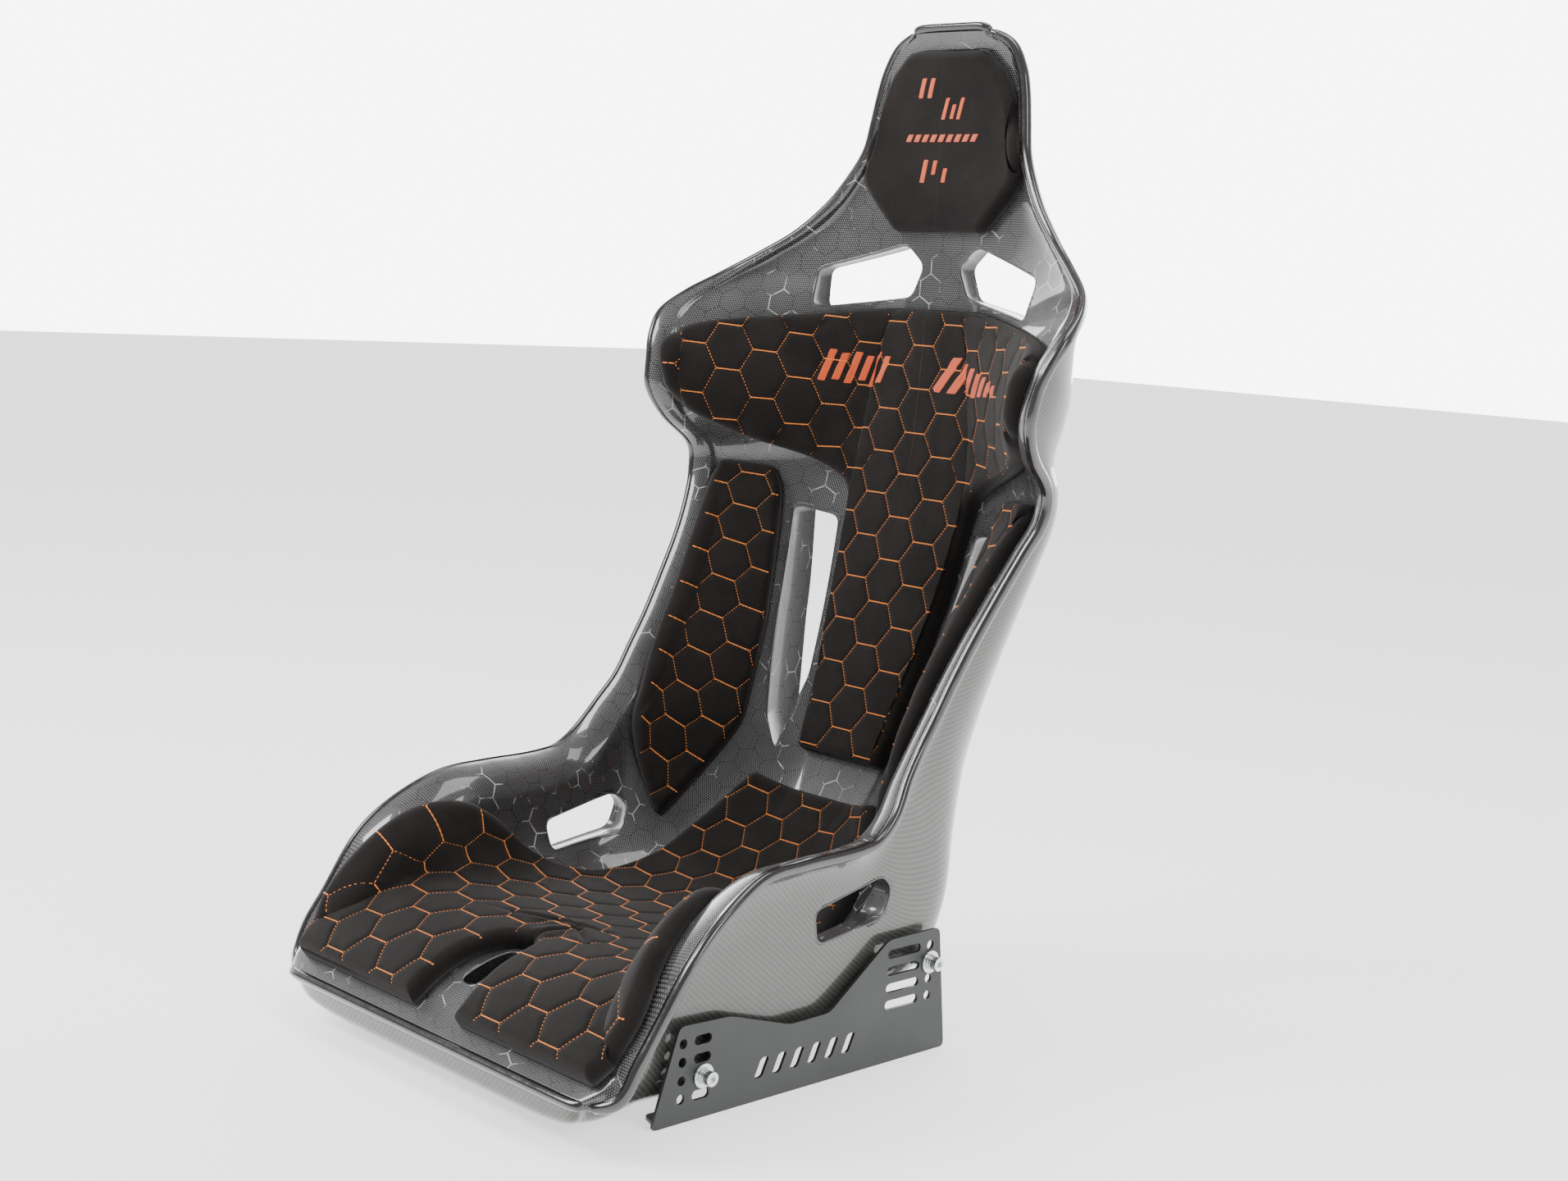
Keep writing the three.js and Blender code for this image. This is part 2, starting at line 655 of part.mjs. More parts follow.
// A pad is a foam block under a suede cover that wraps its face and its sides.
function padSolids(table, side, thickness, rowCount, colCount) {
  const base = padStandOff;
  const lining = padCover + foamGap;
  const whole = padGrid(table, side, 0, thickness, base, rowCount, colCount);
  const hollow = padGrid(table, side, padCover, thickness - padCover, base, rowCount, colCount);
  const foam = padGrid(table, side, lining, thickness - lining, base + foamGap, rowCount, colCount);
  return {
    cover: toSolid(blockBetween(skirted(whole), skirted(hollow))),
    foam: toSolid(blockBetween(foam.upper, foam.lower)),
    block: toSolid(blockBetween(whole.upper, whole.lower)),
  };
}

// Hook-and-loop strip lying on the inner skin, or the room it needs.
function stripSolid(fromL, toL, fromW, toW, room = 0) {
  const face = [];
  const back = [];
  for (let r = 0; r <= 2; r += 1) {
    const position = positionAt((fromL + ((toL - fromL) * r) / 2) * ky);
    const girth = girthTable('inner', position);
    const high = [];
    const low = [];
    for (let c = 0; c <= 4; c += 1) {
      const w = (fromW + ((toW - fromW) * c) / 4) * kx;
      const across = Math.sign(w) * lookUp(girth, Math.abs(w));
      const point = surfacePoint('inner', position, across);
      const normal = surfaceNormal('inner', position, across);
      high.push(point.clone().addScaledVector(normal, fitGap + stripThickness + room));
      low.push(point.clone().addScaledVector(normal, fitGap - room));
    }
    face.push(high);
    back.push(low);
  }
  return blockBetween(face, back);
}

// ---------------------------------------------------------------- side brackets
const hipHalfWidth = sections[8][11] * kx;
const plateInner = hipHalfWidth + spacerLength + 2 * fitGap;
const plateOuter = plateInner + plateThickness;

const roundRow = (count, y, top) => Array.from({ length: count }, (_, i) => [y, top - i * holePitch]);
const frontTopRow = frontMountZ + 2 * holePitch;
const rearTopRow = rearMountZ + holePitch;
const shortSlotLength = 20;
const longSlotLength = 45;
const plateOutline = rounded([
  [frontMountY - 56.5, 0], [frontMountY - 29, frontTopRow + 16], [frontMountY + 30, frontTopRow + 14],
  [frontMountY + 104, frontTopRow - 8], [frontMountY + 154, frontTopRow - 7],
  [rearMountY - 58, rearTopRow + 14], [rearMountY + 12, rearTopRow + 15], [rearMountY + 29, 0],
], 6);

function slotOutline(y, z, length) {
  const result = [];
  const half = length / 2 - holeRadius;
  for (let i = 0; i < 12; i += 1) {
    const angle = (i / 12) * 2 * Math.PI + Math.PI / 12;
    const c = Math.cos(angle);
    result.push([y + holeRadius * c + Math.sign(c) * half, z + holeRadius * Math.sin(angle)]);
  }
  return result;
}

function bracketSolid() {
  let plate = prism(plateOutline, 'x', plateInner, plateOuter);
  const foot = prism(
    rounded([
      [plateOuter, frontMountY - 50], [plateOuter, rearMountY + 24],
      [plateOuter - plateFlange, rearMountY + 14], [plateOuter - plateFlange, frontMountY - 40],
    ], 5),
    'z', 0, plateThickness,
  );
  plate = plate.add(foot);
  const cuts = [];
  for (const [y, z] of roundRow(holeRows, frontMountY - 24.5, frontTopRow)) {
    cuts.push(slotOutline(y, z, 2 * holeRadius));
  }
  for (const [y, z] of roundRow(holeRows, frontMountY - 1.5, frontTopRow)) {
    cuts.push(slotOutline(y, z, shortSlotLength));
  }
  for (const [y, z] of roundRow(holeRows, rearMountY - 36.1, rearTopRow)) {
    cuts.push(slotOutline(y, z, longSlotLength));
  }
  for (const [y, z] of roundRow(holeRows, rearMountY, rearTopRow)) {
    cuts.push(slotOutline(y, z, 2 * holeRadius));
  }
  const slashCount = 6;
  for (let i = 0; i < slashCount; i += 1) {
    const y = frontMountY + 62 + i * 22;
    cuts.push(rounded([[y, 21], [y + 10, 21], [y + 18, 39], [y + 8, 39]], 2, 1));
  }
  for (const outline of cuts) {
    plate = plate.subtract(prism(outline, 'x', plateInner - 2, plateOuter + 2));
  }
  for (const y of [frontMountY, (frontMountY + rearMountY) / 2, rearMountY - 18]) {
    const hole = new THREE.CylinderGeometry(floorHoleRadius, floorHoleRadius, 3 * plateThickness, 12);
    hole.rotateX(Math.PI / 2);
    hole.translate(plateOuter - plateFlange * 0.6, y, plateThickness / 2);
    plate = plate.subtract(toSolid(hole));
  }
  return plate;
}

// ---------------------------------------------------------------- fasteners, one mounting point
// The spacer's inner end and the insert's outer end follow the outer skin.
const skinReach = 30;
const insideShell = toSolid(blockBetween(skinGrid('outer', -fitGap), skinGrid('outer', skinReach)));
const outsideShell = toSolid(blockBetween(outerLimit, skinGrid('outer', -skinReach)));

function fastenerSolids(y, z) {
  const washerFrom = plateOuter + fitGap;
  const lockFrom = washerFrom + washerThickness + fitGap;
  const headFrom = lockFrom + lockWasherThickness + fitGap;
  const bore = barX(boltRadius + fitGap, -tall, tall, y, z, 12);
  const socket = toSolid(new THREE.CylinderGeometry(socketRadius, socketRadius, 2 * socketDepth, 6)
    .rotateZ(Math.PI / 2).translate(headFrom + boltHeadHeight, y, z));
  const bolt = barX(boltHeadRadius, headFrom, headFrom + boltHeadHeight, y, z)
    .add(barX(boltRadius, headFrom - boltLength, headFrom + 1, y, z, 12))
    .subtract(socket);
  const split = toSolid(new THREE.BoxGeometry(3 * lockWasherThickness, lockWasherRadius, lockWasherSplit)
    .translate(lockFrom + lockWasherThickness / 2, y + lockWasherRadius * 0.75, z));
  return {
    bolt,
    flat_washer: barX(washerRadius, washerFrom, washerFrom + washerThickness, y, z).subtract(bore),
    lock_washer: barX(lockWasherRadius, lockFrom, lockFrom + lockWasherThickness, y, z)
      .subtract(bore).subtract(split),
    spacer: mainPiece(barX(spacerRadius, hipHalfWidth - insertLength, plateInner - fitGap, y, z)
      .subtract(insideShell).subtract(bore)),
    insert: mainPiece(barX(insertRadius, hipHalfWidth - 2 * insertLength, hipHalfWidth, y, z)
      .subtract(outsideShell).subtract(bore)),
  };
}

// ---------------------------------------------------------------- materials and assembly
const looks = {
  carbon_honeycomb: { color: 0x1b1c1e, roughness: 0.22, metalness: 0.15 },
  carbon_twill: { color: 0x3a3b39, roughness: 0.3, metalness: 0.15 },
  edge_resin: { color: 0x120f10, roughness: 0.2, metalness: 0.05 },
  suede: { color: 0x14110f, roughness: 0.95, metalness: 0 },
  foam: { color: 0x2b2b2d, roughness: 1, metalness: 0 },
  hook_and_loop: { color: 0x0c0c0c, roughness: 1, metalness: 0 },
  black_anodised: { color: 0x34363a, roughness: 0.42, metalness: 0.7 },
  zinc_plate: { color: 0xc9ccd0, roughness: 0.28, metalness: 1 },
  insert_steel: { color: 0x8f9296, roughness: 0.4, metalness: 1 },
};

const seat = new THREE.Group();
seat.name = 'racing_seat';

function addPart(name, body, look) {
  const geometry = body instanceof THREE.BufferGeometry ? body : toGeometry(body);
  const mesh = new THREE.Mesh(
    toCreasedNormals(geometry, Math.PI / 5),
    new THREE.MeshStandardMaterial({ name: look, ...looks[look] }),
  );
  mesh.name = name;
  seat.add(mesh);
}

addPart('shell_inner_skin', innerSkin, 'carbon_honeycomb');
addPart('shell_outer_skin', outerSkin, 'carbon_twill');
addPart('rim_edge_bead', trimmedBead(), 'edge_resin');

// Hook-and-loop strips: distances up the centre line, then across it.
const strips = [
  ['head_strip_upper', 1290, 1315, -45, 45],
  ['head_strip_lower', 1180, 1205, -45, 45],
  ['back_strip_upper', 1000, 1030, -50, 50],
  ['back_strip_lower', 660, 690, -40, 40],
  ['cushion_strip_rear', 460, 490, -60, 60],
  ['cushion_strip_front', 180, 210, -60, 60],
  ['side_strip_right', 640, 700, 170, 195],
  ['side_strip_left', 640, 700, -195, -170],
];
const stripSolids = strips.map(([name, ...span]) => [name, clearOfSkin(toSolid(stripSolid(...span)))]);
const stripRooms = strips.map(([, fromL, toL, fromW, toW]) => (
  toSolid(stripSolid(fromL - 1, toL + 1, fromW - 1, toW + 1, fitGap))
));
const clearOfStrips = (solid) => stripRooms.reduce((rest, room) => rest.subtract(room), solid);

// Notch for the legs' middle strap in the front of the cushion.
const notchOutline = rounded(
  scaledXY([[-33, -160], [33, -160], [26, -40], [14, 2], [-14, 2], [-26, -40]]),
  12,
);
const notchPrism = (margin) => prism(grown(notchOutline, margin), 'z', -20, 260 * kz);
const pads = [
  { name: 'head_pad', table: headPadOutline, side: 0, thickness: headPadThickness, rows: 5, cols: 5 },
  { name: 'back_pad', table: backPadOutline, side: 0, thickness: backPadThickness, rows: 14, cols: 8 },
  { name: 'side_pad_right', table: sidePadOutline, side: 1, thickness: sidePadThickness, rows: 8, cols: 2 },
  { name: 'side_pad_left', table: sidePadOutline, side: -1, thickness: sidePadThickness, rows: 8, cols: 2 },
  { name: 'seat_cushion', table: cushionOutline, side: 0, thickness: cushionThickness, rows: 13, cols: 10 },
];
for (const { name, table, side, thickness, rows, cols } of pads) {
  let { cover, foam, block } = padSolids(table, side, thickness, rows, cols);
  if (name === 'seat_cushion') {
    cover = cover.add(block.intersect(notchPrism(padCover))).subtract(notchPrism(0));
    foam = foam.subtract(notchPrism(padCover + fitGap)).subtract(cover);
  }
  addPart(`${name}_cover`, clearOfSkin(cover), 'suede');
  addPart(`${name}_foam`, clearOfSkin(clearOfStrips(foam)), 'foam');
}
for (const [name, strip] of stripSolids) {
  addPart(name, strip, 'hook_and_loop');
}

const mirror = new THREE.Matrix4().makeScale(-1, 1, 1);
function mirroredGeometry(body) {
  const geometry = toGeometry(body).applyMatrix4(mirror);
  const index = Array.from(geometry.index.array);
  for (let i = 0; i < index.length; i += 3) {
    [index[i + 1], index[i + 2]] = [index[i + 2], index[i + 1]];
  }
  geometry.setIndex(index);
  return geometry;
}

const bracket = bracketSolid();
addPart('side_bracket_right', bracket, 'black_anodised');
addPart('side_bracket_left', mirroredGeometry(bracket), 'black_anodised');
for (const { name, y, z } of mounts) {
  const solids = fastenerSolids(y, z);
  for (const [kind, solid] of Object.entries(solids)) {
    const look = kind === 'insert' ? 'insert_steel' : 'zinc_plate';
    addPart(`${kind}_${name}_right`, solid, look);
    addPart(`${kind}_${name}_left`, mirroredGeometry(solid), look);
  }
}

// The origin is under the middle of the whole seat, at the floor.
const box = new THREE.Box3().setFromObject(seat);
const centre = box.getCenter(new THREE.Vector3());
for (const mesh of seat.children) {
  mesh.geometry.translate(0, -centre.y, -box.min.z);
}

export default seat;
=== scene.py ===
import math

import bmesh
import bpy
import numpy as np
from mathutils import Matrix, Vector
from mathutils.bvhtree import BVHTree


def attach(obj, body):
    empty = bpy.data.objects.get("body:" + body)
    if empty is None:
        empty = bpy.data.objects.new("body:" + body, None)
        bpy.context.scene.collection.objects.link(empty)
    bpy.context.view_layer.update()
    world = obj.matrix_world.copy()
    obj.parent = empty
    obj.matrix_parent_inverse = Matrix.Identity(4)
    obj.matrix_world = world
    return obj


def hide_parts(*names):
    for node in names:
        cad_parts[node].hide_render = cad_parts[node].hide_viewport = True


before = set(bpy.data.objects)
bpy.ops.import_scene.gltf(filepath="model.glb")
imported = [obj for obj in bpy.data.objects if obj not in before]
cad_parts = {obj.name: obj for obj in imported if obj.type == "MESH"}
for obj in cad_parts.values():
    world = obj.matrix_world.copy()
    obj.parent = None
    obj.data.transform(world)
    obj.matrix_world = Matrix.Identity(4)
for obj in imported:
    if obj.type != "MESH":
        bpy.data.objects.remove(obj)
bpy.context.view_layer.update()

# ---- shape of the shell, mm
# The seat is drawn in its own frame and moved back to the row frame by ORIGIN_Y.
ORIGIN_Y = 200.4
SKIN = 2.6
RIM_DROP = 8.2
FLAT_SHARE = 0.22    # share of a half section used by its flat middle, at FULL_FLAT or wider
FULL_FLAT = 60
BODY_SHARE = 0.8     # the wall ends and the rolled rim begins
ROLL_SHARE = 0.2
DEEPEST_ROLL = 0.3   # the wall keeps at least this share of the depth
RIM_STEP = 0.002     # step for slopes at the rim
# centre y z | rim x y z | flat, roundness, rolled rim out and up | outer y z, side, flare, roundness
SECTIONS = np.array([
    [-120, 46, 222, -108, 44, 0, 8, 4, 2, -118.6, 38, 208, 4, 8],
    [-101, 59, 240, -97, 54, 0, 6, 10, 6, -113, 19, 204, 14, 7],
    [-80, 76, 244, -84, 80, 0, 5, 22, 10, -97, 9, 199, 30, 6.5],
    [-55, 89, 244, -66, 106, 0, 4.2, 40, 14, -66, 4, 199.7, 46, 6],
    [-20, 97, 245, -30, 158, 0, 3.8, 50, 28, -24, 4, 199.8, 60, 6],
    [25, 98, 241, 8, 190, 0, 3.6, 50, 34, 25, 7, 199.7, 66, 8],
    [75, 93, 233, 60, 215, 0, 3.6, 43, 34, 78, 12, 199.7, 66, 8],
    [130, 87, 231, 112, 220, 0, 3.6, 41, 34, 130, 20, 199.7, 60, 8],
    [185, 83, 230, 155, 221, 0, 3.6, 40, 32, 182, 30, 199.7, 58, 9],
    [235, 87, 230, 185, 223, 4, 3.3, 40, 30, 230, 41, 199.7, 56, 10],
    [285, 103, 229, 207, 228, 12, 2.6, 38, 28, 280, 56, 199.7, 52, 11],
    [328, 133, 226, 229, 246, 24, 1.9, 34, 26, 328, 75, 199.7, 46, 10],
    [364, 171, 219, 249, 274, 38, 1.5, 30, 26, 363, 113, 198.5, 42, 7],
    [389, 211, 215, 268, 299, 48, 1.3, 28, 26, 391, 160, 196, 38, 4],
    [407, 254, 216, 286, 328, 54, 1.2, 28, 26, 418, 212, 196, 36, 2.7],
    [426, 303, 217, 307, 363, 60, 1.15, 28, 26, 441, 268, 196, 34, 2.4],
    [443, 355, 221, 330, 403, 68, 1.15, 26, 24, 462, 329, 200, 32, 2.3],
    [459, 407, 227, 354, 444, 74, 1.15, 24, 22, 481, 387, 207, 30, 2.2],
    [472, 455, 235, 373, 480, 78, 1.15, 22, 20, 496, 440, 220, 24, 2],
    [482, 497, 244, 386, 511, 80, 1.15, 20, 18, 507, 484, 229, 20, 1.9],
    [489, 531, 247, 384, 538, 80, 1.15, 20, 18, 514, 521, 233, 18, 1.9],
    [493, 561, 255, 352, 567, 78, 1.2, 20, 18, 518, 554, 241, 20, 1.9],
    [495, 592, 262, 334, 598, 74, 1.2, 20, 18, 520, 587, 249, 22, 2.1],
    [497, 622, 266, 336, 630, 68, 1.2, 20, 18, 522, 619, 254, 22, 2.1],
    [498, 652, 272, 344, 657, 62, 1.2, 20, 18, 523, 651, 258, 20, 1.9],
    [498, 680, 276, 360, 681, 54, 1.2, 20, 18, 523, 680, 266, 10, 1.65],
    [498, 706, 267, 389, 703, 46, 1.2, 20, 16, 523, 706, 262, 6, 1.55],
    [498, 728, 247, 416, 722, 40, 1.25, 18, 14, 523, 730, 246, 4, 1.55],
    [498, 750, 215, 438, 744, 34, 1.3, 16, 12, 524, 753, 215, 3, 1.6],
    [499, 774, 176, 459, 771, 24, 1.4, 14, 10, 524, 777, 176, 3, 1.65],
    [500, 800, 144, 472, 801, 12, 1.6, 12, 8, 524, 802, 143, 3, 1.7],
    [501, 828, 124, 480, 828, 4, 1.9, 10, 7, 524, 829, 122, 3, 1.8],
    [501, 858, 108, 487, 858, 0, 2.3, 9, 6, 523, 859, 106, 3, 1.9],
    [500, 888, 102, 490, 888, 0, 2.6, 9, 5, 521, 888, 99, 3, 2],
    [498, 916, 97, 492, 916, 0, 2.8, 8, 4, 517, 916, 89, 5, 2.2],
    [496, 940, 90, 493, 940, 0, 3, 7, 3, 512, 940, 83, 4, 2.6],
    [492, 962, 76, 493, 962, 0, 4, 5, 2, 505, 963, 70, 4, 3.4],
    [486, 980, 52, 490, 974, 0, 6, 3, 1, 494, 980, 48, 3, 5],
], float)


def section_positions():
    centre = np.hypot(*np.diff(SECTIONS[:, :2], axis=0).T)
    rim = np.linalg.norm(np.diff(SECTIONS[:, 2:5], axis=0), axis=1)
    run = np.concatenate([[0], np.cumsum((centre + rim) / 2)])
    return run / run[-1]


POSITIONS = section_positions()
SLOPES = np.array([
    (SECTIONS[min(i + 1, len(SECTIONS) - 1)] - SECTIONS[max(i - 1, 0)])
    / (POSITIONS[min(i + 1, len(SECTIONS) - 1)] - POSITIONS[max(i - 1, 0)])
    for i in range(len(SECTIONS))
])


def section_at(s):
    """Smooth curve through the section table at shares s of its length."""
    s = np.clip(s, 0, 1)
    k = np.clip(np.searchsorted(POSITIONS, s, side="right") - 1, 0, len(POSITIONS) - 2)
    step = (POSITIONS[k + 1] - POSITIONS[k])[:, None]
    u = (s - POSITIONS[k])[:, None] / step
    return (
        (2 * u**3 - 3 * u**2 + 1) * SECTIONS[k]
        + (u**3 - 2 * u**2 + u) * SLOPES[k] * step
        + (3 * u**2 - 2 * u**3) * SECTIONS[k + 1]
        + (u**3 - u**2) * SLOPES[k + 1] * step
    )


def section_point(a, cy, cz, rx, ry, rz, flat, roundness, side, roll):
    """Point on the half section from its middle (a = 0) to the rim (a = 1)."""
    dy, dz = ry - cy, rz - cz
    depth = np.hypot(dy, dz) + 1e-9
    wall = np.maximum(depth - roll, DEEPEST_ROLL * depth)
    flat_end = FLAT_SHARE * np.clip(flat / FULL_FLAT, 0, 1)
    along = np.clip(a / np.maximum(flat_end, 1e-9), 0, 1) * np.where(flat_end > 1e-6, 1, 0)
    body = np.clip((a - flat_end) / (BODY_SHARE - flat_end), 0, 1) * np.pi / 2
    turn = np.clip((a - BODY_SHARE) / ROLL_SHARE, 0, 1) * np.pi / 2
    x = flat * along + (side - flat) * np.maximum(np.sin(body), 0) ** (2 / roundness)
    x = x + (rx - side) * (1 - np.cos(turn))
    q = wall * (1 - np.maximum(np.cos(body), 0) ** (2 / roundness)) + (depth - wall) * np.sin(turn)
    return x, cy + dy / depth * q, cz + dz / depth * q


def inner_point(s, t):
    s, t = np.broadcast_arrays(np.asarray(s, float), np.asarray(t, float))
    v = section_at(s.ravel())
    cy, cz, rx, ry, rz, flat, roundness, out, up = v.T[:9]
    x, y, z = section_point(
        np.abs(t.ravel()), cy, cz, rx, ry, rz, np.maximum(flat, 0), roundness, rx - out, up
    )
    return np.stack([np.sign(t.ravel()) * x, y, z], -1).reshape(s.shape + (3,))


def rim_normal(s):
    along = inner_point(np.clip(s + RIM_STEP, 0, 1), 1.0) - inner_point(np.clip(s - RIM_STEP, 0, 1), 1.0)
    over = inner_point(s, 1.0) - inner_point(s, 1 - 2 * RIM_STEP)
    n = np.cross(over, along)
    return n / np.linalg.norm(n, axis=-1)[..., None]


def outer_point(s, t):
    s, t = np.broadcast_arrays(np.asarray(s, float), np.asarray(t, float))
    v = section_at(s.ravel())
    rx, ry, rz, flat = v.T[2:6]
    oy, oz, side, flare, outer_round = v.T[9:]
    drop = -rim_normal(s.ravel()) * RIM_DROP
    rx, ry, rz = rx + drop[:, 0], ry + drop[:, 1], rz + drop[:, 2]
    x, y, z = section_point(
        np.abs(t.ravel()), oy, oz, rx, ry, rz, 0 * flat, outer_round, np.minimum(side, rx), flare
    )
    return np.stack([np.sign(t.ravel()) * x, y, z], -1).reshape(s.shape + (3,))


def unit(v):
    return v / (np.linalg.norm(v, axis=-1)[..., None] + 1e-12)


def grid_normals(p):
    return unit(np.cross(np.gradient(p, axis=1), np.gradient(p, axis=0)))


SECTION_SAMPLES = 401


def even_grid(point, rows, cols):
    """Rows up the shell, columns evenly spaced round each section, with w and l beside them."""
    fine = np.linspace(-1, 1, SECTION_SAMPLES)
    s = np.linspace(0, 1, rows)
    dense = point(s[:, None], fine[None, :])
    step = np.linalg.norm(np.diff(dense, axis=1), axis=2)
    girth = np.concatenate([np.zeros((rows, 1)), np.cumsum(step, axis=1)], axis=1)
    grid = np.empty((rows, cols, 3))
    w = np.empty((rows, cols))
    for r in range(rows):
        at = np.linspace(0, girth[r, -1], cols)
        for k in range(3):
            grid[r, :, k] = np.interp(at, girth[r], dense[r, :, k])
        w[r] = at - girth[r, -1] / 2
    centre = point(s, np.zeros(rows))
    length = np.concatenate([[0], np.cumsum(np.linalg.norm(np.diff(centre, axis=0), axis=1))])
    l = np.repeat(length[:, None], cols, axis=1)
    return grid, w, l


# Map from distances on the unrolled inner skin to points and normals.
MAP_STEP = 2.0
MAP_HALF = 330.0
MAP_ROW_SAMPLES = 1401
MAP_HALF_SAMPLES = 241


def build_map():
    s = np.linspace(0, 1, MAP_ROW_SAMPLES)
    centre = inner_point(s, np.zeros_like(s))
    length = np.concatenate([[0], np.cumsum(np.linalg.norm(np.diff(centre, axis=0), axis=1))])
    l = np.arange(0, length[-1], MAP_STEP)
    rows = np.interp(l, length, s)
    t = np.linspace(0, 1, MAP_HALF_SAMPLES)
    dense = inner_point(rows[:, None], t[None, :])
    step = np.linalg.norm(np.diff(dense, axis=1), axis=2)
    girth = np.concatenate([np.zeros((len(l), 1)), np.cumsum(step, axis=1)], axis=1)
    w = np.arange(0, MAP_HALF + MAP_STEP, MAP_STEP)
    half = np.empty((len(l), len(w), 3))
    for r in range(len(l)):
        for k in range(3):
            half[r, :, k] = np.interp(w, girth[r], dense[r, :, k])
    left = half[:, :0:-1] * np.array([-1, 1, 1])
    points = np.concatenate([left, half], axis=1)
    return points, grid_normals(points)


MAP_POINTS, MAP_NORMALS = build_map()


def on_skin(w, l, height=0.0):
    """Point at distances w across and l along the inner skin, at a height above it."""
    w, l = np.broadcast_arrays(np.asarray(w, float), np.asarray(l, float))
    c = np.clip((w + MAP_HALF) / MAP_STEP, 0, MAP_POINTS.shape[1] - 1.001)
    r = np.clip(l / MAP_STEP, 0, MAP_POINTS.shape[0] - 1.001)
    i, j = r.astype(int), c.astype(int)
    u, v = (r - i)[..., None], (c - j)[..., None]

    def blend(a):
        return ((1 - u) * ((1 - v) * a[i, j] + v * a[i, j + 1])
                + u * ((1 - v) * a[i + 1, j] + v * a[i + 1, j + 1]))

    return blend(MAP_POINTS) + unit(blend(MAP_NORMALS)) * np.asarray(height)[..., None]


def to_row(points):
    """Drawing frame in mm to row frame in metres."""
    return (np.asarray(points) - np.array([0, ORIGIN_Y, 0])) / 1000


# ---- meshes
def make_object(name, points, faces, uv=None, smooth=True):
    mesh = bpy.data.meshes.new(name)
    mesh.from_pydata(to_row(points).tolist(), [], [tuple(f) for f in faces])
    if uv is not None:
        layer = mesh.uv_layers.new(name="skin")
        index = np.empty(len(mesh.loops), np.int32)
        mesh.loops.foreach_get("vertex_index", index)
        layer.data.foreach_set("uv", (np.asarray(uv) / 1000)[index].astype(np.float32).ravel())
    mesh.validate()
    obj = bpy.data.objects.new(name, mesh)
    bpy.context.scene.collection.objects.link(obj)
    bm = bmesh.new()
    bm.from_mesh(mesh)
    bmesh.ops.recalc_face_normals(bm, faces=bm.faces)
    bm.to_mesh(mesh)
    bm.free()
    for polygon in mesh.polygons:
        polygon.use_smooth = smooth
    return obj


def grid_faces(rows, cols, start=0):
    i = (np.arange(rows - 1)[:, None] * cols + np.arange(cols - 1)[None, :]).ravel() + start
    return np.stack([i, i + 1, i + cols + 1, i + cols], 1)


def closed_block(front, back):
    """Points and faces of the closed solid between two grids."""
    rows, cols = front.shape[:2]
    half = rows * cols
    points = np.concatenate([front.reshape(-1, 3), back.reshape(-1, 3)])
    faces = [grid_faces(rows, cols), grid_faces(rows, cols, half)[:, ::-1]]
    edge = (list(range(cols - 1)) + [r * cols + cols - 1 for r in range(rows - 1)]
            + [(rows - 1) * cols + c for c in range(cols - 1, 0, -1)]
            + [r * cols for r in range(rows - 1, 0, -1)])
    edge = np.array(edge)
    after = np.roll(edge, -1)
    faces.append(np.stack([after, edge, edge + half, after + half], 1))
    return points, np.concatenate(faces)


CORNER_SHARE = 0.42   # most of a side that one rounded corner takes


def rounded(outline, radius, steps=6):
    """Closed outline with its corners rounded by curves that reach a radius along each side."""
    points = [np.array(p, float) for p in outline]
    result = []
    for i, p in enumerate(points):
        before, after = points[i - 1] - p, points[(i + 1) % len(points)] - p
        reach = min(radius, CORNER_SHARE * np.linalg.norm(before), CORNER_SHARE * np.linalg.norm(after))
        a = p + before / np.linalg.norm(before) * reach
        b = p + after / np.linalg.norm(after) * reach
        for k in range(steps + 1):
            u = k / steps
            result.append((1 - u) ** 2 * a + 2 * u * (1 - u) * p + u**2 * b)
    return np.array(result)


def densified(outline, step):
    """Outline with points no further apart than a step."""
    result = []
    for i, p in enumerate(outline):
        q = outline[(i + 1) % len(outline)]
        count = max(1, int(np.ceil(np.linalg.norm(q - p) / step)))
        result += [p + (q - p) * k / count for k in range(count)]
    return np.array(result)


def grown(outline, distance):
    """Outline moved outwards by a distance."""
    area = np.sum(outline[:, 0] * np.roll(outline[:, 1], -1) - np.roll(outline[:, 0], -1) * outline[:, 1])
    tangent = unit(np.roll(outline, -1, 0) - np.roll(outline, 1, 0))
    normal = np.stack([tangent[:, 1], -tangent[:, 0]], 1) * np.sign(area)
    return outline + normal * distance


# ---- shell skins and openings
SKIN_ROWS, SKIN_COLS = 300, 150
inner_grid, inner_w, inner_l = even_grid(inner_point, SKIN_ROWS, SKIN_COLS)
outer_grid, outer_w, outer_l = even_grid(outer_point, SKIN_ROWS, SKIN_COLS)
inner_normals = grid_normals(inner_grid)
outer_normals = grid_normals(outer_grid)


def skin_object(name, front, back, w, l):
    points, faces = closed_block(front, back)
    uv = np.stack([w.ravel(), l.ravel()], 1)
    return make_object(name, points, faces, uv=np.concatenate([uv, uv]))


inner_skin = skin_object("inner_skin", inner_grid, inner_grid - inner_normals * SKIN, inner_w, inner_l)
outer_skin = skin_object("outer_skin", outer_grid + outer_normals * SKIN, outer_grid, outer_w, outer_l)

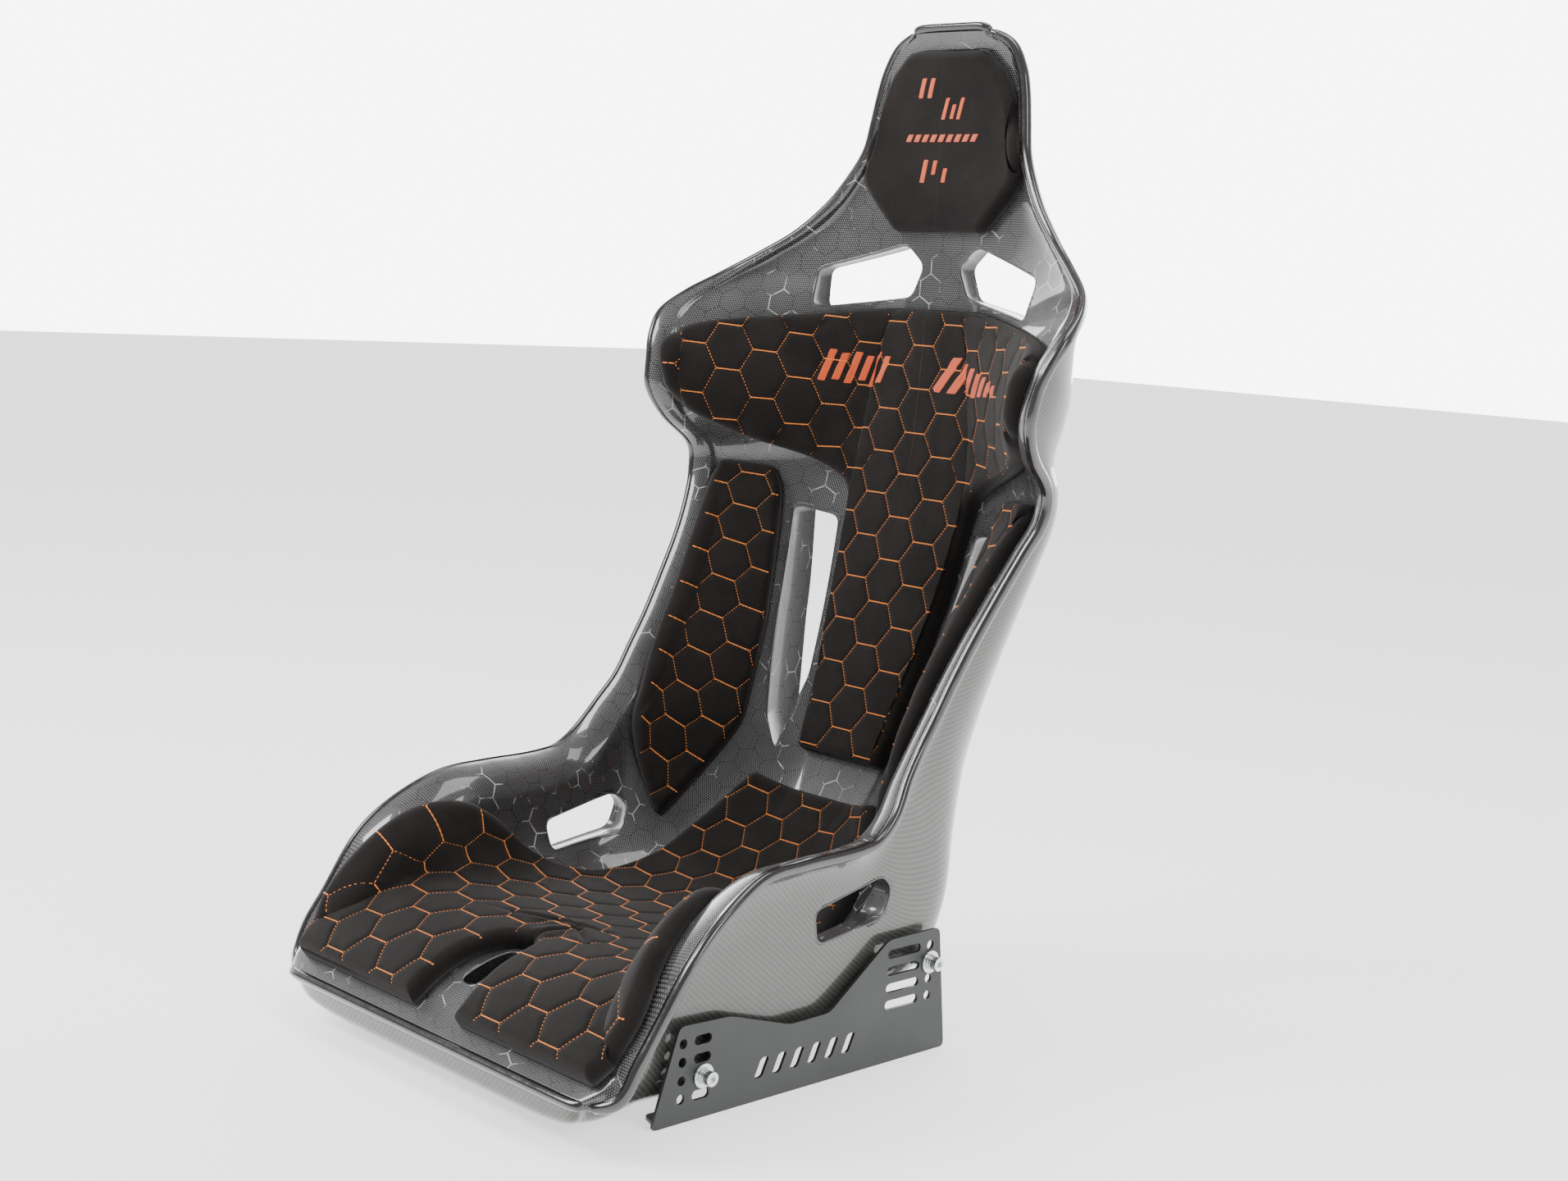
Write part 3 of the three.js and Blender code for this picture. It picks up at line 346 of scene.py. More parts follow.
HARNESS = [[24, 742], [39, 709], [146, 692], [150, 734], [48, 763]]
WINDOW = [[97, 473], [144, 481], [123, 364], [100, 262], [84, 229], [77, 308]]
BELT = [[163, 158], [250, 178], [263, 165], [253, 139], [168, 127]]
STRAP = [[-11, -72], [11, -72], [11, -12], [-11, -12]]
CORNER = 9
OUTLINE_STEP = 4
CUT_MARGIN = 0.9
WALL_ROW = 6.0        # height of a wall's rows in its UV map
# Section of an opening's wall: distance outwards, skin (0 inner, 1 outer), shift towards the other skin.
WALL_PROFILE = [
    (0.0, 0, 1.6), (-0.5, 0, 0.7), (0.2, 0, -0.1), (1.4, 0, -0.45), (2.4, 0, 0.5), (2.4, 0, 3.0),
    (2.4, 1, -3.0), (2.4, 1, -0.5), (1.4, 1, 0.45), (0.2, 1, 0.1), (-0.5, 1, -0.7), (0.0, 1, -1.6),
]


def flipped(outline):
    return [[-a, b] for a, b in outline]


# name, outline, axis, ray start on the inner side, ray start on the outer side
OPENINGS = [
    ("harness_wall_right", HARNESS, 1, 100, 700),
    ("harness_wall_left", flipped(HARNESS), 1, 100, 700),
    ("window_wall_right", WINDOW, 1, 100, 700),
    ("window_wall_left", flipped(WINDOW), 1, 100, 700),
    ("belt_wall_right", BELT, 0, 20, 320),
    ("belt_wall_left", BELT, 0, -20, -320),
    ("strap_wall", STRAP, 2, 200, -60),
]


def placed(outline, axis, value):
    """Outline points with the third coordinate put in along an axis."""
    value = np.broadcast_to(np.asarray(value, float), (len(outline),))
    return np.insert(outline, axis, 0, axis=1) + np.eye(3)[axis] * value[:, None]


def surface_tree(grid):
    faces = grid_faces(*grid.shape[:2])
    return BVHTree.FromPolygons(grid.reshape(-1, 3).tolist(), faces.tolist())


inner_tree = surface_tree(inner_grid)
outer_tree = surface_tree(outer_grid)


def hits(tree, outline, axis, start, end):
    """Where rays from the outline meet a skin, along the axis. Missed rays take their neighbours' depth."""
    direction = np.sign(end - start) * np.eye(3)[axis]
    found = []
    for p in placed(outline, axis, start):
        hit = tree.ray_cast(Vector(p), Vector(direction))
        found.append(hit[0][axis] if hit[0] is not None else np.nan)
    found = np.array(found)
    good = ~np.isnan(found)
    order = np.arange(len(found))
    return np.interp(order, order[good], found[good])


def cut(target, cutter):
    modifier = target.modifiers.new("opening", "BOOLEAN")
    modifier.operation = "DIFFERENCE"
    modifier.solver = "MANIFOLD"
    modifier.object = cutter


def apply_modifiers(obj):
    bpy.context.view_layer.update()
    evaluated = obj.evaluated_get(bpy.context.evaluated_depsgraph_get())
    mesh = bpy.data.meshes.new_from_object(evaluated)
    obj.modifiers.clear()
    old = obj.data
    obj.data = mesh
    mesh.name = obj.name
    bpy.data.meshes.remove(old)


def ring_solid(name, rings, uv=None):
    """Closed tube whose cross-section runs through the given rings in order."""
    count, n = len(rings), len(rings[0])
    points = np.concatenate(rings)
    faces = []
    i = np.arange(n)
    j = (i + 1) % n
    for k in range(count):
        a, b = k * n, ((k + 1) % count) * n
        faces.append(np.stack([a + i, a + j, b + j, b + i], 1))
    return make_object(name, points, np.concatenate(faces), uv=uv)


def opening_cutter(name, outline, axis, near, far):
    low, high = sorted((near, far))
    ring = grown(outline, CUT_MARGIN)
    n = len(outline)
    i = np.arange(n)
    j = (i + 1) % n
    faces = np.stack([i, j, n + j, n + i], 1).tolist() + [list(range(n))[::-1], list(range(n, 2 * n))]
    points = np.concatenate([placed(ring, axis, low), placed(ring, axis, high)])
    return make_object(name + "_cutter", points, faces, smooth=False)


def opening_wall(name, outline, axis, near, far):
    rings = []
    for out, skin, shift in WALL_PROFILE:
        line = grown(outline, out)
        tree, start, end = (inner_tree, near, far) if skin == 0 else (outer_tree, far, near)
        depth = hits(tree, line, axis, start, end)
        rings.append(placed(line, axis, depth + np.sign(far - near) * shift))
    arc = np.concatenate([[0], np.cumsum(np.linalg.norm(np.diff(outline, axis=0), axis=1))])
    uv = [np.stack([arc, np.full(len(outline), WALL_ROW * k)], 1) for k in range(len(rings))]
    return ring_solid(name, rings, uv=np.concatenate(uv))


walls = []
cutters = []
for name, corners, axis, near, far in OPENINGS:
    outline = densified(rounded(corners, CORNER), OUTLINE_STEP)
    cutter = opening_cutter(name, outline, axis, near, far)
    cutters.append(cutter)
    cut(inner_skin, cutter)
    cut(outer_skin, cutter)
    walls.append(opening_wall(name, outline, axis, near, far))

apply_modifiers(inner_skin)
apply_modifiers(outer_skin)
for cutter in cutters:
    bpy.data.objects.remove(cutter)


# ---- edge bead
RIM_END_SAMPLES = 80
RIM_SIDE_SAMPLES = 420
RIM_SPACING = 2.5
NORMAL_PASSES = 12
TANGENT_PASSES = 4


def rim_loop():
    """Points and normals once round the rim of the inner skin."""
    t = np.linspace(1, -1, RIM_END_SAMPLES)[:-1]
    s = np.linspace(0, 1, RIM_SIDE_SAMPLES)[:-1]
    stations = ([(0.0, a) for a in t] + [(a, -1.0) for a in s]
                + [(1.0, -a) for a in t] + [(1.0 - a, 1.0) for a in s])
    pairs = np.array(stations)
    rows, shares = pairs[:, 0], pairs[:, 1]
    along = (inner_point(np.clip(rows + RIM_STEP, 0, 1), shares)
             - inner_point(np.clip(rows - RIM_STEP, 0, 1), shares))
    over = (inner_point(rows, np.clip(shares + 2 * RIM_STEP, -1, 1))
            - inner_point(rows, np.clip(shares - 2 * RIM_STEP, -1, 1)))
    return inner_point(rows, shares), unit(np.cross(over, along))


def even_loop(p, n, step):
    closed = np.concatenate([p, p[:1]])
    run = np.concatenate([[0], np.cumsum(np.linalg.norm(np.diff(closed, axis=0), axis=1))])
    at = np.linspace(0, run[-1], int(run[-1] / step), endpoint=False)
    normals = np.concatenate([n, n[:1]])
    return (np.stack([np.interp(at, run, closed[:, k]) for k in range(3)], 1),
            unit(np.stack([np.interp(at, run, normals[:, k]) for k in range(3)], 1)))


def smoothed(values, passes):
    for _ in range(passes):
        values = (np.roll(values, 1, 0) + 2 * values + np.roll(values, -1, 0)) / 4
    return values


rim_p, rim_n = even_loop(*rim_loop(), RIM_SPACING)
rim_n = unit(smoothed(rim_n, NORMAL_PASSES))
rim_t = unit(smoothed(np.roll(rim_p, -1, 0) - np.roll(rim_p, 1, 0), TANGENT_PASSES))
rim_out = unit(np.cross(rim_n, rim_t))
# Section of the bead: distance outwards from the rim, height above the inner skin.
BEAD_PROFILE = [
    (-3.0, 0.5), (0.0, 0.9), (2.6, 0.8), (4.4, 0.0), (5.2, -1.8), (5.2, -RIM_DROP + 1.4),
    (4.4, -RIM_DROP - 0.2), (2.6, -RIM_DROP - 0.9), (0.0, -RIM_DROP - 0.8), (-0.6, -RIM_DROP + 1.0),
    (-0.6, -1.5), (-3.0, -0.8),
]
bead_rings = [rim_p + rim_out * out + rim_n * up for out, up in BEAD_PROFILE]
bead = ring_solid("edge_bead", bead_rings)


# ---- pads
HEX_SIDE = 26.5
HEX_COLUMN = 1.5 * HEX_SIDE
HEX_ROW = math.sqrt(3) * HEX_SIDE
HEX_SHIFT_L = 8.0

# Outline tables: distance up the skin, then half width, or inner and outer edge of a side pad.
PADS = {
    "head_pad": {
        "thickness": 15, "quilted": False,
        "table": [
            (1157, 58), (1166, 70), (1190, 96), (1214, 112), (1240, 108), (1290, 88), (1322, 72), (1336, 58),
            (1341, 40),
        ],
    },
    "back_pad": {
        "thickness": 18, "quilted": True,
        "table": [
            (599, 58), (604, 63), (690, 72), (800, 81), (880, 88), (898, 100), (912, 140), (928, 200),
            (944, 268), (962, 302), (985, 312), (1015, 316), (1030, 311), (1042, 288), (1053, 240),
            (1066, 150), (1074, 80), (1078, 30),
        ],
    },
    "side_pad": {
        "thickness": 17, "quilted": True,
        "table": [
            (458, 164, 172), (472, 160, 196), (500, 154, 226), (528, 147, 246), (602, 129, 250),
            (718, 140, 248), (837, 160, 250), (876, 168, 250), (888, 174, 246), (894, 186, 236),
        ],
    },
    "seat_cushion": {
        "thickness": 17, "quilted": True,
        "table": [
            (20, 214), (26, 222), (40, 222), (86, 238), (119, 248), (162, 257), (200, 256), (226, 247),
            (250, 228), (272, 202), (291, 176), (327, 156), (372, 148), (455, 131), (512, 112),
            (545, 102), (554, 92),
        ],
    },
}
NOTCH = [(20, 33), (60, 30), (95, 26), (118, 20), (130, 13), (136, 0)]
# Folds of the cushion behind its notch: w, l, length, depth, angle.
TUCKS = [
    (-20, 172, 42, 5.0, 0.35), (8, 150, 26, 4.0, 1.25), (32, 165, 34, 3.5, -0.5),
]
TUCK_WIDTH = 3.2
TUCK_LIP = (0.45, 7.0, 5.0)       # share of the depth, distance from the fold, width
PAD_EDGE = 9.0
PAD_BASE = 0.5
PAD_STEP = 2.3
END_ROWS = (0.25, 0.7, 1.3)       # extra rows close to a pad's ends
END_SHARES = (0.003, 0.01, 0.99, 0.997)
OUTLINE_SMOOTHING = 7
CROWN, CROWN_REACH = 2.2, 26.0
CELL_RISE, CELL_REACH = 0.9, 7.0
GROOVE, GROOVE_WIDTH = 1.3, 1.9
QUILT_FADE, RIPPLE_FADE = 10.0, 12
RIPPLE = 0.35


def hex_centre(w, l):
    """Nearest cell centre of the stitched pattern, as offsets from it."""
    w = np.asarray(w, float)
    l = np.asarray(l, float) - HEX_SHIFT_L
    pitch = 2 * HEX_COLUMN
    aw = w - np.round(w / pitch) * pitch
    al = l - np.round(l / HEX_ROW) * HEX_ROW
    bw = (w - HEX_COLUMN) - np.round((w - HEX_COLUMN) / pitch) * pitch
    bl = (l - HEX_ROW / 2) - np.round((l - HEX_ROW / 2) / HEX_ROW) * HEX_ROW
    near = np.hypot(aw, al) < np.hypot(bw, bl)
    return np.where(near, aw, bw), np.where(near, al, bl)


def hex_edge_distance(w, l):
    dw, dl = hex_centre(w, l)
    reach = np.maximum(np.abs(dl), np.abs(dw) * math.sqrt(3) / 2 + np.abs(dl) / 2)
    return HEX_ROW / 2 - reach


def polyline_distance(points, w, l, closed=True):
    w, l = np.asarray(w, float), np.asarray(l, float)
    best = np.full(np.broadcast(w, l).shape, 1e9)
    ends = np.roll(points, -1, 0) if closed else points[1:]
    starts = points if closed else points[:-1]
    for a, b in zip(starts, ends):
        d = b - a
        u = np.clip(((w - a[0]) * d[0] + (l - a[1]) * d[1]) / (d @ d + 1e-9), 0, 1)
        best = np.minimum(best, np.hypot(w - a[0] - u * d[0], l - a[1] - u * d[1]))
    return best


def softened(values, width):
    """Moving average that keeps both ends in place."""
    count = len(values)
    result = values.copy()
    for i in range(count):
        reach = min(width, i, count - 1 - i)
        result[i] = values[i - reach:i + reach + 1].mean()
    return result


class Pad:
    """A quilted or plain pad on the inner skin; side is 1 right, -1 left and 0 for one across the middle."""

    def __init__(self, name, kind, side):
        spec = PADS[kind]
        self.name, self.side = name, side
        self.thickness, self.quilted = spec["thickness"], spec["quilted"]
        table = np.array([(row[0], row[1] if side else 0.0, row[-1]) for row in spec["table"]], float)
        self.first, self.last = table[0, 0], table[-1, 0]
        rows = int((self.last - self.first) / PAD_STEP)
        inner_rows = self.first + (self.last - self.first) * np.linspace(0, 1, rows)
        ends = np.array(END_ROWS)
        self.l = np.unique(np.concatenate([inner_rows, self.first + ends, self.last - ends]))
        self.low = softened(np.interp(self.l, table[:, 0], table[:, 1]), OUTLINE_SMOOTHING)
        self.high = softened(np.interp(self.l, table[:, 0], table[:, 2]), OUTLINE_SMOOTHING)
        self.notched = kind == "seat_cushion"
        if self.notched:
            notch = np.array(NOTCH, float)
            self.low = np.where(self.l < notch[-1, 0], np.interp(self.l, notch[:, 0], notch[:, 1]), 0)
        right = [np.array([h, l]) for h, l in zip(self.high, self.l)]
        left = [np.array([v, l]) for v, l in zip(self.low, self.l)]
        if side:
            outline = right + left[::-1]
        elif self.notched:
            keep = [p for p in left if p[0] > 0]
            outline = right + [np.array([-p[0], p[1]]) for p in right[::-1]]
            outline += [np.array([-p[0], p[1]]) for p in keep] + [np.array([0, NOTCH[-1][0]])] + keep[::-1]
        else:
            outline = right + [np.array([-p[0], p[1]]) for p in right[::-1]]
        self.outline = np.array(outline)

    def height(self, w, l):
        flip = -1 if self.side < 0 else 1
        w = np.asarray(w, float) * flip
        d = polyline_distance(self.outline[::2], w, l)
        short = np.clip(PAD_EDGE - d, 0, None)
        drop = PAD_EDGE - np.sqrt(np.clip(PAD_EDGE**2 - short**2, 0, None))
        h = self.thickness - drop + CROWN * (1 - np.exp(-d / CROWN_REACH))
        if self.quilted:
            edge = hex_edge_distance(w * flip, l)
            rise = CELL_RISE * (1 - np.exp(-np.clip(edge, 0, None) / CELL_REACH))
            groove = GROOVE * np.exp(-(edge / GROOVE_WIDTH) ** 2)
            h = h + np.clip(d / QUILT_FADE, 0, 1) * (rise - groove)
        ripple = np.sin(w / 31.0 + l / 47.0) * np.sin(l / 38.0 - w / 83.0)
        h = h + RIPPLE * ripple * np.clip(d / RIPPLE_FADE, 0, 1)
        if self.notched:
            lip, lip_at, lip_width = TUCK_LIP
            for cw, cl, length, depth, angle in TUCKS:
                u = (w * flip - cw) * math.cos(angle) + (l - cl) * math.sin(angle)
                v = -(w * flip - cw) * math.sin(angle) + (l - cl) * math.cos(angle)
                fade = np.exp(-(u / length) ** 2)
                h = h - depth * np.exp(-(v / TUCK_WIDTH) ** 2) * fade
                h = h + lip * depth * np.exp(-((np.abs(v) - lip_at) / lip_width) ** 2) * fade
        return np.maximum(h, PAD_BASE + 1)

    def build(self):
        halves = [1] if self.side else [1, -1]
        tops, faces, start = [], [], 0
        cols = max(8, int(np.max(self.high - self.low) / PAD_STEP))
        u = np.linspace(0, 1, cols)
        u = np.unique(np.concatenate([u, END_SHARES]))
        for half in halves:
            sign = half * (-1 if self.side < 0 else 1)
            w = sign * (self.low[:, None] + u[None, :] * (self.high - self.low)[:, None])
            l = np.repeat(self.l[:, None], len(u), axis=1)
            h = self.height(w, l)
            tops.append(np.stack([w, l, h], -1).reshape(-1, 3))
            faces.append(grid_faces(len(self.l), len(u), start))
            start += w.size
        flat = np.concatenate(tops)
        faces = np.concatenate(faces)
        key = np.round(flat[:, :2] * 200).astype(np.int64)
        _, firsts, inverse = np.unique(key, axis=0, return_index=True, return_inverse=True)
        inverse = inverse.ravel()
        flat = flat[firsts]
        faces = inverse[faces]
        top = on_skin(flat[:, 0], flat[:, 1], flat[:, 2])
        base = on_skin(flat[:, 0], flat[:, 1], np.full(len(flat), PAD_BASE))
        count = len(flat)
        kept = []
        for face in faces:
            ring = [v for k, v in enumerate(face) if v != face[k - 1]]
            if len(ring) >= 3:
                kept.append(ring)
        edges = {}
        for ring in kept:
            for k, v in enumerate(ring):
                pair = (ring[k - 1], v)
                if (pair[1], pair[0]) in edges:
                    del edges[(pair[1], pair[0])]
                else:
                    edges[pair] = True
        all_faces = [list(map(int, ring)) for ring in kept]
        all_faces += [[int(v) + count for v in ring[::-1]] for ring in kept]
        all_faces += [[int(b), int(a), int(a) + count, int(b) + count] for a, b in edges]
        uv = np.concatenate([flat[:, :2], flat[:, :2]])
        return make_object(self.name, np.concatenate([top, base]), all_faces, uv=uv)


pads = [
    Pad("head_pad", "head_pad", 0),
    Pad("back_pad", "back_pad", 0),
    Pad("side_pad_right", "side_pad", 1),
    Pad("side_pad_left", "side_pad", -1),
    Pad("seat_cushion", "seat_cushion", 0),
]
pad_objects = {pad.name: pad.build() for pad in pads}


# ---- stitching
THREAD_SIDES = 6
# Stitch pitch, length and radius on the edges across the seat, and on the slanted ones.
ACROSS = (3.1, 3.3, 0.85)
SLANTED = (3.3, 2.0, 0.5)
STITCH_MARGIN = 3.0
STITCH_LIFT = 0.55    # share of the thread's radius that stands clear


def capsules(name, starts, ends, radii):
    """One mesh of small rounded threads between pairs of points."""
    rings = np.array([(0.0, 0.25), (0.12, 0.8), (0.5, 1.0), (0.88, 0.8), (1.0, 0.25)])
    sides = THREAD_SIDES
    angle = np.arange(sides) / sides * 2 * np.pi
    points, faces = [], []
    axis = unit(ends - starts)
    helper = np.where(np.abs(axis[:, 2:3]) < 0.9, [[0, 0, 1.0]], [[1.0, 0, 0]])
    a = unit(np.cross(axis, helper))
    b = np.cross(axis, a)
    for share, width in rings:
        centre = starts + (ends - starts) * share
        for k in range(sides):
            offset = a * math.cos(angle[k]) + b * math.sin(angle[k])
            points.append(centre + offset * (radii * width)[:, None])
    points = np.stack(points, 1)
    per = points.shape[1]
    template = []
    for r in range(len(rings) - 1):
        for k in range(sides):
            m = (k + 1) % sides
            template.append([r * sides + k, r * sides + m, (r + 1) * sides + m, (r + 1) * sides + k])
    caps = [list(range(sides))[::-1], [(len(rings) - 1) * sides + k for k in range(sides)]]
    base = np.arange(len(points)) * per
    faces = (base[:, None, None] + np.array(template)[None]).reshape(-1, 4).tolist()
    for cap in caps:
        faces += (base[:, None] + np.array(cap)[None]).tolist()
    return make_object(name, points.reshape(-1, 3), faces)


def inside_outline(outline, w, l):
    hit = np.zeros(np.shape(w), bool)
    for (aw, al), (bw, bl) in zip(outline, np.roll(outline, -1, 0)):
        crossing = (al > l) != (bl > l)
        at = aw + (l - al) * (bw - aw) / (bl - al + 1e-12)
        hit ^= crossing & (w < at)
    return hit


def stitch_lines():
    """Middle, direction, length and radius of every stitch of the hexagon pattern."""
    rows = []
    for column in range(-9, 10):
        cw = column * HEX_COLUMN
        for row in range(-1, 34):
            cl = HEX_SHIFT_L + row * HEX_ROW + (HEX_ROW / 2 if column % 2 else 0)
            for k in range(3):
                a = math.radians(60 + 60 * k)
                b = math.radians(120 + 60 * k)
                p = np.array([cw + HEX_SIDE * math.cos(a), cl + HEX_SIDE * math.sin(a)])
                q = np.array([cw + HEX_SIDE * math.cos(b), cl + HEX_SIDE * math.sin(b)])
                pitch, length, radius = ACROSS if k == 0 else SLANTED
                count = int(HEX_SIDE / pitch)
                for i in range(count):
                    middle = p + (q - p) * (i + 0.5) / count
                    rows.append((*middle, *((q - p) / HEX_SIDE), length, radius))
    return np.array(rows)


all_stitches = stitch_lines()


def stitch_pad(pad):
    flip = -1 if pad.side < 0 else 1
    w, l = all_stitches[:, 0], all_stitches[:, 1]
    inside = inside_outline(pad.outline, w * flip, l)
    rows = all_stitches[inside]
    far = polyline_distance(pad.outline, rows[:, 0] * flip, rows[:, 1]) > STITCH_MARGIN
    rows = rows[far]
    h = pad.height(rows[:, 0], rows[:, 1])
    step = rows[:, 4:5] / 2 * rows[:, 2:4]
    a, b = rows[:, :2] - step, rows[:, :2] + step
    lift = h + STITCH_LIFT * rows[:, 5]
    return capsules(
        pad.name + "_stitching", on_skin(a[:, 0], a[:, 1], lift), on_skin(b[:, 0], b[:, 1], lift), rows[:, 5]
    )


stitch_objects = {pad.name: stitch_pad(pad) for pad in pads if pad.quilted}


BAR_COLS, BAR_ROWS = 24, 7
BAR_RISE, BAR_SINK = 0.9, 0.25


def embroidery(name, pad, bars):
    """Plain bars on a pad, each given by the w and l of its middle, half width, half height and slant."""
    points, faces, start = [], [], 0
    cols, rows = BAR_COLS, BAR_ROWS
    for w0, l0, half_w, half_l, slant in bars:
        u = np.linspace(-1, 1, cols)[None, :]
        v = np.linspace(-1, 1, rows)[:, None]
        w = w0 + half_w * u + slant * half_l * v
        l = l0 + half_l * v + 0 * u
        edge = np.minimum(1 - np.abs(u) + 0 * v, 1 - np.abs(v) + 0 * u)
        h = pad.height(w, l) + BAR_RISE * np.clip(edge * 6, 0, 1) ** 0.5 - BAR_SINK
        points.append(on_skin(w, l, h).reshape(-1, 3))
        faces.append(grid_faces(rows, cols, start))
        start += rows * cols
    across, up = np.linspace(-1, 1, cols), np.linspace(-1, 1, rows)
    uv = [
        np.stack([np.tile(across * half_w, rows), np.repeat(up * half_l, cols)], 1)
        for _, _, half_w, half_l, _ in bars
    ]
    return make_object(name, np.concatenate(points), np.concatenate(faces), uv=np.concatenate(uv))


pad_named = {pad.name: pad for pad in pads}
head_marks = embroidery("head_pad_embroidery", pad_named["head_pad"], (
    [(-26, 1303, 3.0, 11, 0.25), (-14, 1303, 3.0, 11, 0.25)]
    + [(6, 1282, 2.4, 12, 0.3), (16, 1279, 2.4, 8, 0.3), (26, 1282, 2.4, 12, 0.3)]
    + [(-42 + 11 * k, 1252, 3.6, 4.2, 0.5) for k in range(9)]
    + [(-20, 1218, 3.2, 13, 0.2), (-6, 1222, 2.8, 8, 0.2), (8, 1214, 2.8, 8, 0.2)]
))
back_marks = embroidery("back_pad_embroidery", pad_named["back_pad"], (
    [(-128 + 15 * k, 1012, 4.5, 19 - 3 * (k % 2), 0.4) for k in range(6)]
    + [(36 + 20 * k, 1012 - 2 * k, 6.5, 21 - 2.5 * k, 0.7) for k in range(7)]
))


# ---- materials
def new_material(name):
    material = bpy.data.materials.new(name)
    material.use_nodes = True
    nodes, links = material.node_tree.nodes, material.node_tree.links
    return material, nodes, links, nodes["Principled BSDF"]


class Nodes:
    """Short way to write chains of math nodes."""

    def __init__(self, nodes, links):
        self.nodes, self.links = nodes, links

    def put(self, socket, value):
        if isinstance(value, bpy.types.NodeSocket):
            self.links.new(value, socket)
        else:
            socket.default_value = value

    def math(self, operation, a, b=0.0, c=0.0):
        node = self.nodes.new("ShaderNodeMath")
        node.operation = operation
        for socket, value in zip(node.inputs, (a, b, c)):
            self.put(socket, value)
        return node.outputs[0]

    def mix(self, factor, a, b):
        node = self.nodes.new("ShaderNodeMix")
        node.data_type = "RGBA"
        self.put(node.inputs["Factor"], factor)
        self.put(node.inputs["A"], a)
        self.put(node.inputs["B"], b)
        return node.outputs["Result"]

    def ramp(self, value, low, high, to_low=0.0, to_high=1.0):
        node = self.nodes.new("ShaderNodeMapRange")
        node.clamp = True
        for key, v in (("Value", value), ("From Min", low), ("From Max", high), ("To Min", to_low),
                       ("To Max", to_high)):
            self.put(node.inputs[key], v)
        return node.outputs["Result"]

    def noise(self, vector, scale, detail=2.0):
        node = self.nodes.new("ShaderNodeTexNoise")
        self.put(node.inputs["Vector"], vector)
        node.inputs["Scale"].default_value = scale
        node.inputs["Detail"].default_value = detail
        return node.outputs["Fac"]

    def uv(self):
        node = self.nodes.new("ShaderNodeUVMap")
        node.uv_map = "skin"
        split = self.nodes.new("ShaderNodeSeparateXYZ")
        self.links.new(node.outputs["UV"], split.inputs[0])
        return split.outputs[0], split.outputs[1]

    def position(self):
        return self.nodes.new("ShaderNodeTexCoord").outputs["Object"]

    def bump(self, height, distance, strength=1.0):
        node = self.nodes.new("ShaderNodeBump")
        node.inputs["Distance"].default_value = distance
        node.inputs["Strength"].default_value = strength
        self.put(node.inputs["Height"], height)
        return node.outputs["Normal"]

    def hexagons(self, u, v, pitch):
        """Distance to the nearest cell edge, as a share of the cell's half width."""
        sx, sy = pitch, pitch * math.sqrt(3)
        offsets = []
        for shift_x, shift_y in ((0, 0), (sx / 2, sy / 2)):
            a = self.math("WRAP", self.math("SUBTRACT", u, shift_x), sx / 2, -sx / 2)
            b = self.math("WRAP", self.math("SUBTRACT", v, shift_y), sy / 2, -sy / 2)
            length = self.math("ADD", self.math("MULTIPLY", a, a), self.math("MULTIPLY", b, b))
            offsets.append((a, b, length))
        (a0, b0, l0), (a1, b1, l1) = offsets
        first = self.math("LESS_THAN", l0, l1)
        other = self.math("SUBTRACT", 1.0, first)
        a = self.math("ADD", self.math("MULTIPLY", a0, first), self.math("MULTIPLY", a1, other))
        b = self.math("ADD", self.math("MULTIPLY", b0, first), self.math("MULTIPLY", b1, other))
        ax, bx = self.math("ABSOLUTE", a), self.math("ABSOLUTE", b)
        share_a = self.math("MULTIPLY", ax, 0.5)
        share_b = self.math("MULTIPLY", bx, math.sqrt(3) / 2)
        reach = self.math("MAXIMUM", ax, self.math("ADD", share_a, share_b))
        return self.math("SUBTRACT", 1.0, self.math("DIVIDE", reach, sx / 2))

    def ridge(self, coordinate, pitch):
        """Triangle wave from 0 at the edges of a strip to 1 in its middle."""
        share = self.math("FRACT", self.math("DIVIDE", coordinate, pitch))
        centred = self.math("SUBTRACT", self.math("MULTIPLY", share, 2.0), 1.0)
        return self.math("SUBTRACT", 1.0, self.math("ABSOLUTE", centred))


WEAVE_PITCH = 0.0026
CELL_PITCH = 0.027
TOW = 0.0016
SATIN_ROW = 0.0004


